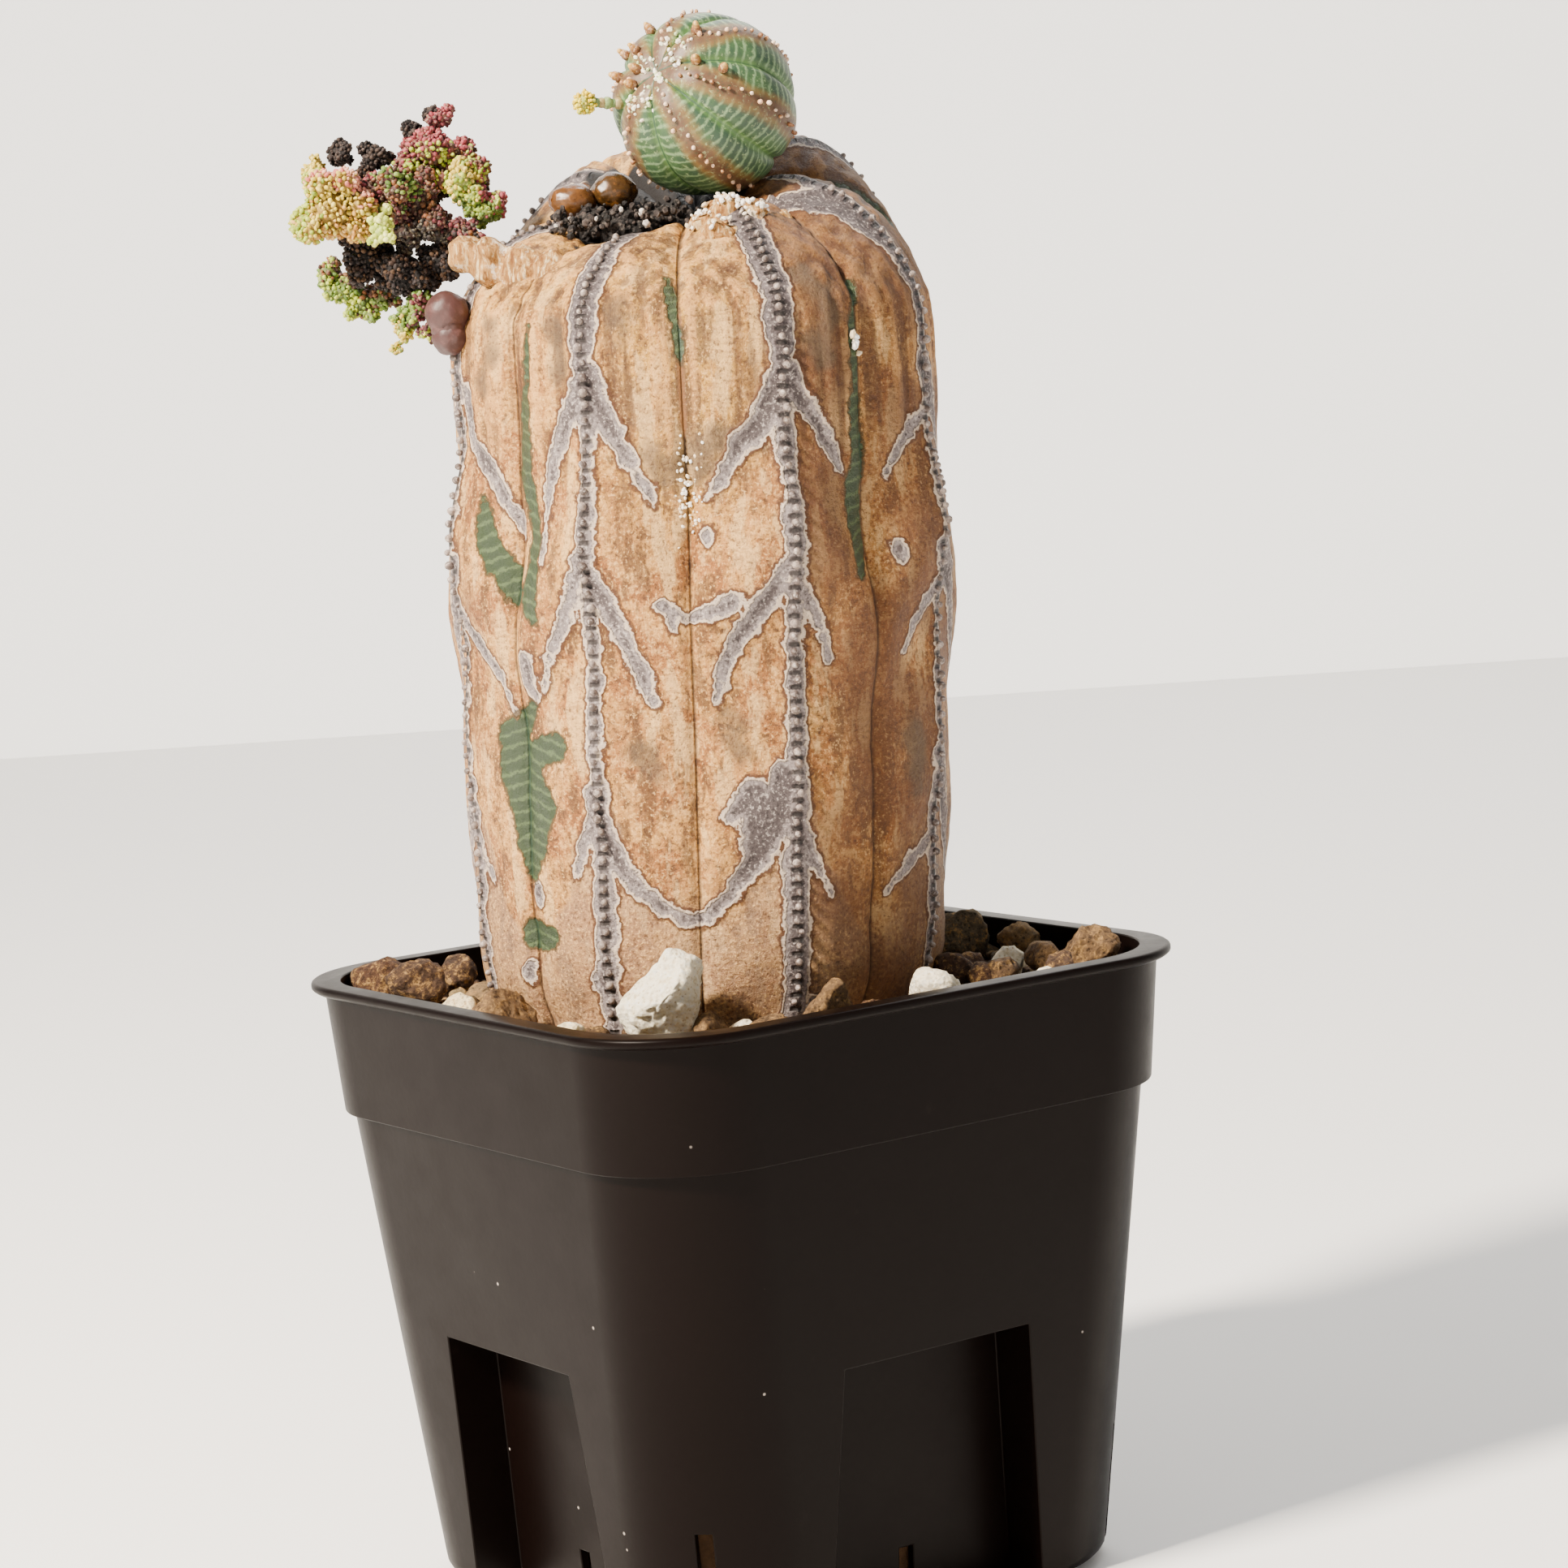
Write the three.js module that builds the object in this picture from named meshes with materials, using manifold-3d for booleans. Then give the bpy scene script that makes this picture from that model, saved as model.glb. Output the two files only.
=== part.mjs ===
// A baseball-plant type euphorbia, grown old and corky, in a square black nursery pot.
// Millimetres, +Z up. The origin is the centre of the pot's underside.
// The pot is square to X and Y; the plant stands turned in it by plantTurn.

import * as THREE from 'three';
import { mergeVertices } from 'three/addons/utils/BufferGeometryUtils.js';
import Module from 'manifold-3d';

const wasm = await Module();
wasm.setup();

const degree = Math.PI / 180;
const fitGap = 0.3;                // clearance kept between pieces that touch

// Pot
const potWidth = 90;               // across the lip
const potHeight = 81;
const potWall = 1.2;
const potFloor = 1.6;
const potCornerRadius = 16;
const potFootRadius = 3;           // rounding between the sides and the underside
const lipThickness = 1.4;
const lipOverhang = 1.3;
const lipEdge = 0.4;               // chamfer round the top of the lip
const collarHeight = 16;           // the wider band under the lip
const collarTaper = 1.1;
const collarStep = 0.9;            // ledge where the band meets the lower wall
const wallTaper = 5.6;             // how much each lower side draws in, from the step to the foot
const panelHeight = 35.7;          // recessed panel in the foot of each side
const panelTopWidth = 29;
const panelBottomWidth = 34;
const panelDepth = 7.2;
const slotWidth = 2.2;             // drain slots through wall and floor
const cornerSlotHeight = 17.8;
const panelSlotHeight = 8;
const slotLength = 12;             // how far a slot runs in across the floor

// Bed
const bedDrop = 5.5;                // from the rim down to the bed
const pumiceSize = [6, 4.6, 6.2];  // half width, half depth and half height of the big white stone

// Stem
const plantTurn = -35.3 * degree;
const stemRadius = 32;             // over the rib crests, at the belly
const stemHeight = 89.5;           // from the bed to the shoulder, where the crown begins
const rootDepth = 52;
const ribCount = 8;
const ribTurn = 20.5 * degree;     // first crest, measured from the plant's front
const ribFall = 0.035;             // share of the radius lost from crest to furrow
const furrowDepth = 0.02;          // extra share lost in the crease itself
const stemLean = -3;               // how far the foot of the stem stands off the pot's axis
const crownRise = 18.5;            // mean height of the crown over the shoulder
const crownTilt = 5.5;             // the far side stands higher, the near side lower
const crownTiltTurn = -25 * degree;
const crownPoleRise = 13;          // height of the sunken middle over the shoulder
const crownPoleShift = [1.5, -5];  // the ribs run together a little forward of the axis

// Growth on the crown
const offsetRadius = 12.2;         // the young green plant on the crown
const offsetNeck = 3.2;
const offsetPlace = [3.5, -6];
const offsetRise = 1.2;            // how far its body stands over the sunken middle
const offsetTilt = 42 * degree;    // its growing point leans towards the plant's front
const offsetTiltTurn = -37 * degree;
const flowerReach = 4.2;           // from the green plant's skin to the middle of the flower
const flowerRadius = 1.7;
const crestSeatShare = 0.87;       // where the crested branch leaves the shoulder, as a share of its radius
const crestSeatTurn = -64 * degree;

const bedLevel = potHeight - bedDrop;
const shoulderLevel = bedLevel + stemHeight;
const potHalf = potWidth / 2;
const collarHalf = potHalf - lipOverhang;
const collarLevel = potHeight - lipThickness - collarHeight;
const wallHalf = collarHalf - collarTaper - collarStep;
const footHalf = wallHalf - wallTaper;

// ---------- solids ----------

function toSolid(geometry) {
  const bare = geometry.clone();
  bare.deleteAttribute('normal');
  bare.deleteAttribute('uv');
  const merged = mergeVertices(bare, 1e-4);
  return new wasm.Manifold(new wasm.Mesh({
    numProp: 3,
    vertProperties: merged.getAttribute('position').array,
    triVerts: new Uint32Array(merged.getIndex().array),
  }));
}

function toGeometry(solid) {
  const mesh = solid.getMesh();
  const geometry = new THREE.BufferGeometry();
  geometry.setAttribute('position', new THREE.BufferAttribute(mesh.vertProperties, 3));
  geometry.setIndex(new THREE.BufferAttribute(mesh.triVerts, 1));
  geometry.computeVertexNormals();
  return geometry;
}

function bareGeometry(geometry) {
  return toGeometry(toSolid(geometry));
}

// Moves every vertex of a geometry by a function of its place.
function reshape(geometry, move) {
  const position = geometry.getAttribute('position');
  const point = new THREE.Vector3();
  for (let i = 0; i < position.count; i++) {
    point.fromBufferAttribute(position, i);
    move(point);
    position.setXYZ(i, point.x, point.y, point.z);
  }
  return geometry;
}

// A profile of [radius, height] pairs turned about the Z axis.
function turned(profile, segments) {
  const points = profile.map(([radius, height]) => new THREE.Vector2(radius, height));
  return new THREE.LatheGeometry(points, segments).rotateX(Math.PI / 2);
}

const group = new THREE.Group();
const plant = new THREE.Group();
plant.rotation.z = plantTurn;
group.add(plant);

function addPiece(parent, name, geometry, finish) {
  const mesh = new THREE.Mesh(geometry, new THREE.MeshStandardMaterial({ metalness: 0, ...finish }));
  mesh.name = name;
  parent.add(mesh);
  return mesh;
}

// ---------- pot ----------

const cornerPoints = 7;            // points on each rounded corner
const squareSegments = 4 * cornerPoints;

// Turns a round profile into the pot's rounded square, the radius becoming the half width.
function squareOff(geometry, inset) {
  return reshape(geometry, (point) => {
    const half = Math.hypot(point.x, point.y);
    if (half < 1e-6) return;
    const turn = Math.atan2(point.y, point.x) / (2 * Math.PI);
    const step = (Math.round(turn * squareSegments) + squareSegments) % squareSegments;
    const corner = Math.floor(step / cornerPoints);
    const sweep = ((step % cornerPoints) / (cornerPoints - 1)) * Math.PI / 2 + corner * Math.PI / 2;
    const radius = Math.min(Math.max(potCornerRadius - inset, 1), half * 0.9);
    const middle = (corner + 0.5) * Math.PI / 2;
    const reach = (half - radius) * Math.SQRT2;
    point.x = Math.cos(middle) * reach + Math.cos(sweep) * radius;
    point.y = Math.sin(middle) * reach + Math.sin(sweep) * radius;
  });
}

function potOutside() {
  const profile = [[0, 0]];
  for (const angle of [0, 30, 60, 90]) {
    const along = potFootRadius * (1 - Math.sin(angle * degree));
    const up = potFootRadius * (1 - Math.cos(angle * degree));
    profile.push([footHalf - along, up]);
  }
  profile.push([wallHalf, collarLevel]);
  profile.push([wallHalf + collarStep, collarLevel]);
  profile.push([collarHalf, potHeight - lipThickness]);
  profile.push([potHalf, potHeight - lipThickness]);
  profile.push([potHalf, potHeight - lipEdge]);
  profile.push([potHalf - lipEdge, potHeight]);
  profile.push([0, potHeight]);
  return toSolid(squareOff(turned(profile, squareSegments), 0));
}

// One recess, a block as deep as the panel, grown on its inner faces by skin.
function panelBlock(skin) {
  const block = new THREE.BoxGeometry(1, 1, 1);
  const topHalf = wallHalf - wallTaper * (1 - panelHeight / collarLevel);
  reshape(block, (point) => {
    const top = point.z > 0;
    const outer = point.y < 0;
    const half = (top ? panelTopWidth : panelBottomWidth) / 2 + skin;
    const wall = top ? topHalf : footHalf;
    point.x = Math.sign(point.x) * half;
    point.y = outer ? -potHalf : -(wall - panelDepth - skin);
    point.z = top ? panelHeight + skin : -1;
  });
  return toSolid(block);
}

function cutPanels(solid, skin) {
  let cut = solid;
  for (let side = 0; side < 4; side++) cut = cut.subtract(panelBlock(skin).rotate([0, 0, side * 90]));
  return cut;
}

// The space inside the pot, drawn in from the walls by a clearance.
function potInside(clearance, top) {
  const inset = potWall + clearance;
  const ledge = collarLevel + potWall;
  const upperTaper = (top - ledge) * collarTaper / collarHeight;
  const profile = [
    [0, potFloor + clearance],
    [footHalf - inset - 1, potFloor + clearance],
    [wallHalf - inset, collarLevel],
    [wallHalf + collarStep - inset, ledge],
    [wallHalf + collarStep - inset + upperTaper, top],
    [0, top],
  ];
  return cutPanels(toSolid(squareOff(turned(profile, squareSegments), inset)), inset);
}

function drainSlot(turn, start, height) {
  const length = potWidth;
  const slot = new THREE.BoxGeometry(length, slotWidth, height + 1);
  slot.translate(start + length / 2, 0, (height - 1) / 2);
  return toSolid(slot.rotateZ(turn));
}

function makePot() {
  let pot = cutPanels(potOutside(), 0).subtract(potInside(0, potHeight + 1));
  const cornerReach = (footHalf - potCornerRadius) * Math.SQRT2 + potCornerRadius;
  for (let side = 0; side < 4; side++) {
    const turn = side * Math.PI / 2;
    pot = pot.subtract(drainSlot(turn, footHalf - panelDepth - slotLength, panelSlotHeight));
    pot = pot.subtract(drainSlot(turn + Math.PI / 4, cornerReach - slotLength, cornerSlotHeight));
  }
  return toGeometry(pot);
}

// ---------- stem ----------

// Radius and height of the stem over the bed, as shares of stemRadius and stemHeight.
const stemOutline = new THREE.SplineCurve([
  [0.9, -0.04], [0.91, 0.02], [0.96, 0.08], [0.97, 0.2], [0.98, 0.3], [1.01, 0.41],
  [1.0, 0.55], [1.06, 0.7], [0.98, 0.84], [0.99, 0.92], [0.96, 1],
].map(([radius, height]) => new THREE.Vector2(radius, height)));

const rootOutline = [[0, 1], [0.06, 0.85], [0.22, 0.6], [0.5, 0.35], [0.75, 0.18]];
const crownShares = [0.98, 0.94, 0.87, 0.78, 0.67, 0.55, 0.43, 0.32, 0.22, 0.12];
const shoulderRadius = stemRadius * 0.96;
const stemSegments = 48;
const stemRings = 22;

function ribSection(turn) {
  const spacing = 2 * Math.PI / ribCount;
  const phase = (((turn - ribTurn) / spacing) % 1 + 1) % 1;
  const away = 1 - Math.abs(phase - 0.5) * 2;      // 0 on the crest, 1 in the furrow
  return 1 - ribFall * away ** 1.3 - furrowDepth * Math.exp(-(((1 - away) / 0.12) ** 2));
}

// Height of the crown over the shoulder at a share of its radius and a turn from the front.
function crownHeight(share, turn) {
  const rise = crownRise - crownTilt * Math.cos(turn - crownTiltTurn);
  const dome = rise * (1 - share ** 2.8) ** 0.7;
  return dome - (rise - crownPoleRise) * Math.exp(-((share / 0.3) ** 2));
}

function crownPoint(share, turn) {
  const radius = shoulderRadius * share;
  const shift = (1 - share) ** 2;
  return new THREE.Vector3(
    radius * Math.sin(turn) + crownPoleShift[0] * shift,
    -radius * Math.cos(turn) + crownPoleShift[1] * shift,
    shoulderLevel + crownHeight(share, turn),
  );
}

// The stem's axis stands off centre at the bed and comes back to the middle at the shoulder.
function leanAt(height) {
  const climb = THREE.MathUtils.clamp((height - bedLevel) / stemHeight, 0, 1);
  return stemLean * (1 - climb) ** 1.4;
}

// Everything that grew as one: taproot, ribbed stem and sunken crown. grow thickens it all round.
function stemGeometry(grow) {
  const crownMark = 1000;          // lifts the crown's points out of the way until they are placed
  const profile = rootOutline.map(([radius, depth]) => [radius * stemRadius, bedLevel - depth * rootDepth]);
  for (const point of stemOutline.getPoints(stemRings)) {
    profile.push([point.x * stemRadius, bedLevel + point.y * stemHeight]);
  }
  for (const share of crownShares) profile.push([share * shoulderRadius, crownMark]);
  profile.push([0, crownMark]);
  return reshape(turned(profile, stemSegments), (point) => {
    const radius = Math.hypot(point.x, point.y);
    const turn = Math.atan2(point.x, -point.y);
    if (point.z === crownMark) {
      const share = radius / shoulderRadius;
      const fade = THREE.MathUtils.smoothstep(share, 0, 0.6);
      const place = crownPoint(share, turn);
      const section = 1 + (ribSection(turn) - 1) * fade;
      point.set(place.x * section, place.y * section, place.z + grow);
      point.x += Math.sin(turn) * grow * share;
      point.y -= Math.cos(turn) * grow * share;
      return;
    }
    const ribbed = THREE.MathUtils.smoothstep(point.z, bedLevel - 0.4 * rootDepth, bedLevel);
    const section = 1 + (ribSection(turn) - 1) * ribbed;
    const onAxis = radius < 1e-6;
    const reach = onAxis ? 0 : radius * section + grow;
    const level = point.z - (onAxis ? grow : 0);
    point.set(Math.sin(turn) * reach + leanAt(level), -Math.cos(turn) * reach, level);
  });
}

const grownStem = toSolid(stemGeometry(fitGap));

// ---------- seated pieces ----------

// Steady pseudo-random numbers, so that every build is the same.
function makeRandom(seed) {
  let state = seed;
  return () => {
    state = (state * 16807) % 2147483647;
    return state / 2147483647;
  };
}

// A lumpy ball that never reaches past its half sizes.
function lump(half, detail, roughness, seed) {
  const random = makeRandom(seed * 7919 + 13);
  const ball = mergeVertices(new THREE.IcosahedronGeometry(1, detail).deleteAttribute('normal')
    .deleteAttribute('uv'), 1e-4);
  return reshape(ball, (point) => {
    point.normalize().multiplyScalar(1 - roughness * random());
    point.multiply(new THREE.Vector3(...half));
  });
}

// Pieces of the plant, each cut back from the stem and from the pieces before it.
const seated = [];

function seat(name, makeSolid, finish) {
  const whole = makeSolid(0);
  const grown = makeSolid(fitGap);
  let solid = whole.subtract(grownStem);
  for (const other of seated) solid = solid.subtract(other);
  seated.push(grown);
  const largest = solid.decompose().sort((a, b) => b.volume() - a.volume())[0];
  addPiece(plant, name, toGeometry(largest), finish);
}

// A clump of balls, each [x, y, z, radius] from a place.
function seatClump(name, place, balls, finish) {
  seat(name, (grow) => {
    const parts = balls.map(([x, y, z, radius], index) => {
      const half = new Array(3).fill(radius + grow);
      const detail = radius > 3.5 ? 2 : 1;
      const ball = lump(half, detail, 0.08, name.length * 5 + index);
      return toSolid(ball.translate(place.x + x, place.y + y, place.z + z));
    });
    return parts.reduce((sum, part) => sum.add(part));
  }, finish);
}

// ---------- green offset on the crown ----------

const offsetSegments = 32;
const offsetRings = 14;
const offsetCentre = new THREE.Vector3(
  offsetPlace[0], offsetPlace[1], shoulderLevel + crownPoleRise + offsetRise + offsetRadius,
);
const offsetPole = new THREE.Vector3(0, 0, 1)
  .applyAxisAngle(new THREE.Vector3(1, 0, 0), offsetTilt)
  .applyAxisAngle(new THREE.Vector3(0, 0, 1), offsetTiltTurn);

// A ribbed globe, a little sunken at its growing point.
function globe(radius) {
  const profile = [];
  for (let ring = 0; ring <= offsetRings; ring++) {
    const angle = Math.PI * ring / offsetRings;
    const sunk = 1 - 0.1 * Math.exp(-(((Math.PI - angle) / 0.35) ** 2));
    profile.push([ring % offsetRings === 0 ? 0 : radius * Math.sin(angle), -radius * Math.cos(angle) * sunk]);
  }
  return reshape(turned(profile, offsetSegments), (point) => {
    const section = ribSection(Math.atan2(point.x, -point.y));
    point.x *= section;
    point.y *= section;
  });
}

function makeOffset(grow) {
  const tilt = new THREE.Quaternion().setFromUnitVectors(new THREE.Vector3(0, 0, 1), offsetPole);
  const body = globe(offsetRadius + grow).applyQuaternion(tilt)
    .translate(offsetCentre.x, offsetCentre.y, offsetCentre.z);
  const foot = new THREE.CylinderGeometry(offsetNeck + grow, offsetNeck + 1 + grow, offsetRadius, 20)
    .rotateX(Math.PI / 2)
    .translate(offsetCentre.x, offsetCentre.y, offsetCentre.z - offsetRadius);
  return toSolid(body).add(toSolid(foot));
}

// A point over the offset's skin in a direction, its height along it measured from the skin.
function overOffset(x, y, z, height) {
  return new THREE.Vector3(x, y, z).normalize()
    .multiplyScalar(offsetRadius + height).add(offsetCentre);
}

// ---------- bed ----------

const bedAxis = new THREE.Vector2(stemLean * Math.cos(plantTurn), stemLean * Math.sin(plantTurn));
const bedStemRadius = stemRadius * 0.97;
const bedHalf = collarHalf - potWall;

// How far along a direction from the axis a circle reaches.
function circleReach(direction, centre, radius) {
  const along = direction.dot(centre);
  return along + Math.sqrt(along * along - centre.lengthSq() + radius * radius);
}

function wallReach(direction) {
  const flat = bedHalf / Math.max(Math.abs(direction.x), Math.abs(direction.y));
  const radius = potCornerRadius - potWall;
  const corner = bedHalf - radius;
  if (Math.min(Math.abs(direction.x), Math.abs(direction.y)) * flat <= corner) return flat;
  const centre = new THREE.Vector2(Math.sign(direction.x) * corner, Math.sign(direction.y) * corner);
  return circleReach(direction, centre, radius);
}

// Clear distance from a point of the bed to the pot's wall.
function wallRoom(point) {
  const radius = potCornerRadius - potWall;
  const over = new THREE.Vector2(
    Math.abs(point.x) - (bedHalf - radius), Math.abs(point.y) - (bedHalf - radius),
  );
  const outside = Math.hypot(Math.max(over.x, 0), Math.max(over.y, 0));
  return radius - outside - Math.min(Math.max(over.x, over.y), 0);
}

const granules = [];

// A granule on the bed at a turn round the pot, at a share of the way from stem to wall.
// It is no bigger than the room that the wall, the stem and its neighbours leave it.
function addGranule(name, turn, share, size, finish) {
  const direction = new THREE.Vector2(Math.cos(turn * degree), Math.sin(turn * degree));
  const near = circleReach(direction, bedAxis, bedStemRadius);
  const place = direction.clone().multiplyScalar(THREE.MathUtils.lerp(near, wallReach(direction), share));
  let radius = Math.min(size, wallRoom(place) - fitGap, place.distanceTo(bedAxis) - bedStemRadius - fitGap);
  for (const other of granules) radius = Math.min(radius, place.distanceTo(other.place) - other.radius - fitGap);
  granules.push({ place, radius });
  const half = [radius, radius, radius * 0.9];
  const stone = lump(half, 1, 0.22, granules.length).translate(place.x, place.y, bedLevel + fitGap + half[2]);
  addPiece(group, name, bareGeometry(stone), finish);
}

function makeSubstrate() {
  const root = grownStem.rotate([0, 0, plantTurn / degree]);
  return toGeometry(potInside(fitGap, bedLevel).subtract(root));
}

// ---------- assembly ----------

const plastic = { color: 0x1d1715, roughness: 0.42 };
const lava = { color: 0x5f4228, roughness: 0.95 };
const pumice = { color: 0xe9dcbd, roughness: 0.95 };
const cork = { color: 0xb98a5e, roughness: 0.8 };
const creamCork = { color: 0xdcbb85, roughness: 0.9 };
const glossyCork = { color: 0x8a5527, roughness: 0.35 };
const deadTissue = { color: 0x1c1718, roughness: 0.95 };
const skinGreen = { color: 0x5d8463, roughness: 0.5 };
const crestGreen = { color: 0x8fa04a, roughness: 0.7 };
const crestRose = { color: 0xb98a6e, roughness: 0.7 };
const crestRed = { color: 0x84404a, roughness: 0.7 };

addPiece(group, 'pot', makePot(), plastic);
addPiece(group, 'substrate', makeSubstrate(), { color: 0x3a2a1c, roughness: 1 });
addPiece(plant, 'stem', bareGeometry(stemGeometry(0)), cork);

seat('green_offset', makeOffset, skinGreen);

const flowerDirection = [-15.1, -6, 1];
const flowerPlace = overOffset(...flowerDirection, flowerReach);
seatClump('offset_flower_head', flowerPlace, [[0, 0, 0, flowerRadius]], { color: 0xc8b83a, roughness: 0.7 });
seat('offset_flower_stalk', (grow) => {
  const start = overOffset(...flowerDirection, -1);
  const line = new THREE.LineCurve3(start, flowerPlace);
  const round = new THREE.Shape().absarc(0, 0, 0.8 + grow, 0, 2 * Math.PI);
  return toSolid(new THREE.ExtrudeGeometry(round, { extrudePath: line, steps: 2, curveSegments: 10 }));
}, skinGreen);

const budDirections = [[-7, -8, 15], [-10, -12, 9], [-4, -16, 7], [2, -15, 11]];
budDirections.forEach((direction, index) => {
  seatClump(`offset_bud_${index + 1}`, overOffset(...direction, 0.4), [[0, 0, 0, 0.9]], glossyCork);
});

seatClump('cork_knob_front', crownPoint(0.57, 16 * degree), [[0, 0, 0.4, 4], [-1.5, -1.5, -1, 3]], creamCork);
seatClump('cork_knob_right', crownPoint(0.6, 38 * degree), [[0, 0, 0.3, 1.9]], creamCork);
seatClump('corky_bud_left', crownPoint(0.45, -66 * degree), [[0, 0, 0.8, 2.5]], glossyCork);
seatClump('corky_bud_right', crownPoint(0.28, -70 * degree), [[0, 0, 1.5, 2.5]], glossyCork);
seatClump('dead_apex', crownPoint(0.36, -38 * degree), [[0, 0, 0, 2.6], [-3, -2, 0, 2.2], [3, -2, 0, 2]], deadTissue);

// The crested branch: heads of different colours, living and dead, placed from its seat on the shoulder.
const crestSeat = crownPoint(crestSeatShare, crestSeatTurn);
const crestClumps = {
  crest_stub: [[[0, 0, 2, 4], [-4, 3, 3.5, 3.6]], creamCork],
  crest_brown_head: [[[-8.5, 5.5, 7.5, 4.2]], crestRed],
  crest_wine_head: [[[-11, 4, 12, 4.6]], crestRed],
  crest_green_head: [[[-1.5, 6, 10, 3.8]], crestGreen],
  crest_red_head: [[[-5.5, 10, 16, 5.5], [-2.5, 10, 13.5, 4.8]], crestRed],
  crest_red_tip: [[[-6, 9, 21.5, 2.4]], crestRed],
  crest_rosy_head: [[[-20.2, 2, 9.5, 6.2]], crestRose],
  crest_yellow_head: [[[-23, 8, 14.5, 3.4]], crestGreen],
  crest_rosette: [[[-13, -3.5, 6.5, 2.9]], crestGreen],
  dead_clump_upper: [[[-14.5, 9, 16.5, 3.6], [-20, 11, 17, 3.1]], deadTissue],
  dead_clump_top: [[[-9.8, 12.5, 20.5, 3]], deadTissue],
  dead_clump_lower: [[[-17, 7, 3.5, 4.6], [-11.5, 6, 0.5, 4.2], [-8, 7.5, 3, 3.6]], deadTissue],
  crest_head_low_left: [[[-22, 11, 2, 2.8], [-19.5, 11, -1.5, 3.5]], crestGreen],
  crest_head_low: [[[-11, 5.5, -5, 3.7], [-13.5, 6, -8, 2.1]], crestGreen],
  crest_purple_bud: [[[-6.5, 0, -4, 3], [-6, 0, -7, 2.6]], { color: 0x6e4a50, roughness: 0.45 }],
};
for (const [name, [balls, finish]] of Object.entries(crestClumps)) seatClump(name, crestSeat, balls, finish);

// The big white stone leans on the foot of the stem.
const pumiceTurn = -138;
const pumiceDirection = new THREE.Vector2(Math.cos(pumiceTurn * degree), Math.sin(pumiceTurn * degree));
const pumiceNear = circleReach(pumiceDirection, bedAxis, bedStemRadius + fitGap);
const pumicePlace = pumiceDirection.clone().multiplyScalar(pumiceNear + pumiceSize[1]);
granules.push({ place: pumicePlace, radius: pumiceSize[0] });
addPiece(group, 'pumice_large', bareGeometry(
  lump(pumiceSize, 1, 0.15, 91).rotateZ((pumiceTurn + 90) * degree)
    .translate(pumicePlace.x, pumicePlace.y, bedLevel + fitGap + pumiceSize[2]),
), pumice);

// turn round the pot in degrees, share of the way from stem to wall, radius
const pumiceStones = [[-82, 0.5, 3.8], [-35.5, 0.3, 2.6], [-155, 0.62, 2.4]];
const lavaStones = [
  [134.7, 0.72, 4.1], [144.7, 0.42, 4.5], [121.3, 0.5, 3.1], [-176, 0.48, 3.9], [-119.4, 0.5, 2.8],
  [-106.3, 0.46, 3.8], [-96.5, 0.4, 2.8], [-51.5, 0.28, 3], [-54, 0.66, 3.1], [-15, 0.75, 3.1],
  [-6.5, 0.35, 4.6], [7, 0.45, 3], [-40.5, 0.72, 4], [95, 0.5, 3.6], [72, 0.45, 3.2], [25, 0.5, 4],
];
pumiceStones.forEach(([turn, share, size], index) => {
  addGranule(`pumice_${index + 1}`, turn, share, size, pumice);
});
lavaStones.forEach(([turn, share, size], index) => {
  addGranule(`granule_${index + 1}`, turn, share, size, lava);
});

export default group;
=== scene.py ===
# A baseball-plant type euphorbia, old and corky, in a square black nursery pot.
# The making is in millimetres, and each piece is turned to metres as it is finished.
import math
import random

import bmesh
import bpy
import numpy as np
from mathutils import Matrix, Vector, noise


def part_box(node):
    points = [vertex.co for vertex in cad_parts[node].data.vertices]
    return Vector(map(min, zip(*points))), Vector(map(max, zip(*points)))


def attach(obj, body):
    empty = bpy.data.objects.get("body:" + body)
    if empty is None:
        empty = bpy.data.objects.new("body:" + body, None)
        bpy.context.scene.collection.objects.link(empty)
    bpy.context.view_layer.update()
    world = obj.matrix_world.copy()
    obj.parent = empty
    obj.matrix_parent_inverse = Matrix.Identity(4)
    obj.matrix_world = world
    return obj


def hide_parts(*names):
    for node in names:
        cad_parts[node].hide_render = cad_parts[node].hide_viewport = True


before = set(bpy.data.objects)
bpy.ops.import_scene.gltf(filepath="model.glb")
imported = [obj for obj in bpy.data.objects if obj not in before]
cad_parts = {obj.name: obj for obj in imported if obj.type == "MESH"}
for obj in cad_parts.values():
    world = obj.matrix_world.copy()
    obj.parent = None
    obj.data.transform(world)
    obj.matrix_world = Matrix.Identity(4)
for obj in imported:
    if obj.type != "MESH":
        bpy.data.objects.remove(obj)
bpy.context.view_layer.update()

mm = 0.001
scene = bpy.context.scene

potLow, potHigh = (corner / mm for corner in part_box("pot"))
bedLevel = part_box("substrate")[1].z / mm
plantTurn = math.radians(-35.3)             # the plant stands turned in its pot
plantMatrix = Matrix.Rotation(plantTurn, 4, "Z")


# ---- small helpers ----

def toLinear(code, alpha=1.0):
    parts = [int(code[i:i + 2], 16) / 255 for i in (1, 3, 5)]
    return (*[p / 12.92 if p <= 0.04045 else ((p + 0.055) / 1.055) ** 2.4 for p in parts], alpha)


def perMm(size):
    return 1000 / size                      # texture scale whose features are this many mm across


def addNode(tree, kind, settings=None, inputs=None):
    node = tree.nodes.new(kind)
    for name, value in (settings or {}).items():
        setattr(node, name, value)
    for key, value in (inputs or {}).items():
        if isinstance(value, bpy.types.NodeSocket):
            tree.links.new(value, node.inputs[key])
        else:
            node.inputs[key].default_value = value
    return node


def startMaterial(name, settings):
    material = bpy.data.materials.new(name)
    material.use_nodes = True
    tree = material.node_tree
    tree.nodes.clear()
    shader = addNode(tree, "ShaderNodeBsdfPrincipled", None, settings)
    addNode(tree, "ShaderNodeOutputMaterial", None, {0: shader.outputs[0]})
    return material, tree, shader


def smoothRange(value, low, high):
    share = np.clip((value - low) / (high - low), 0, 1)
    return share * share * (3 - 2 * share)


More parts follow.
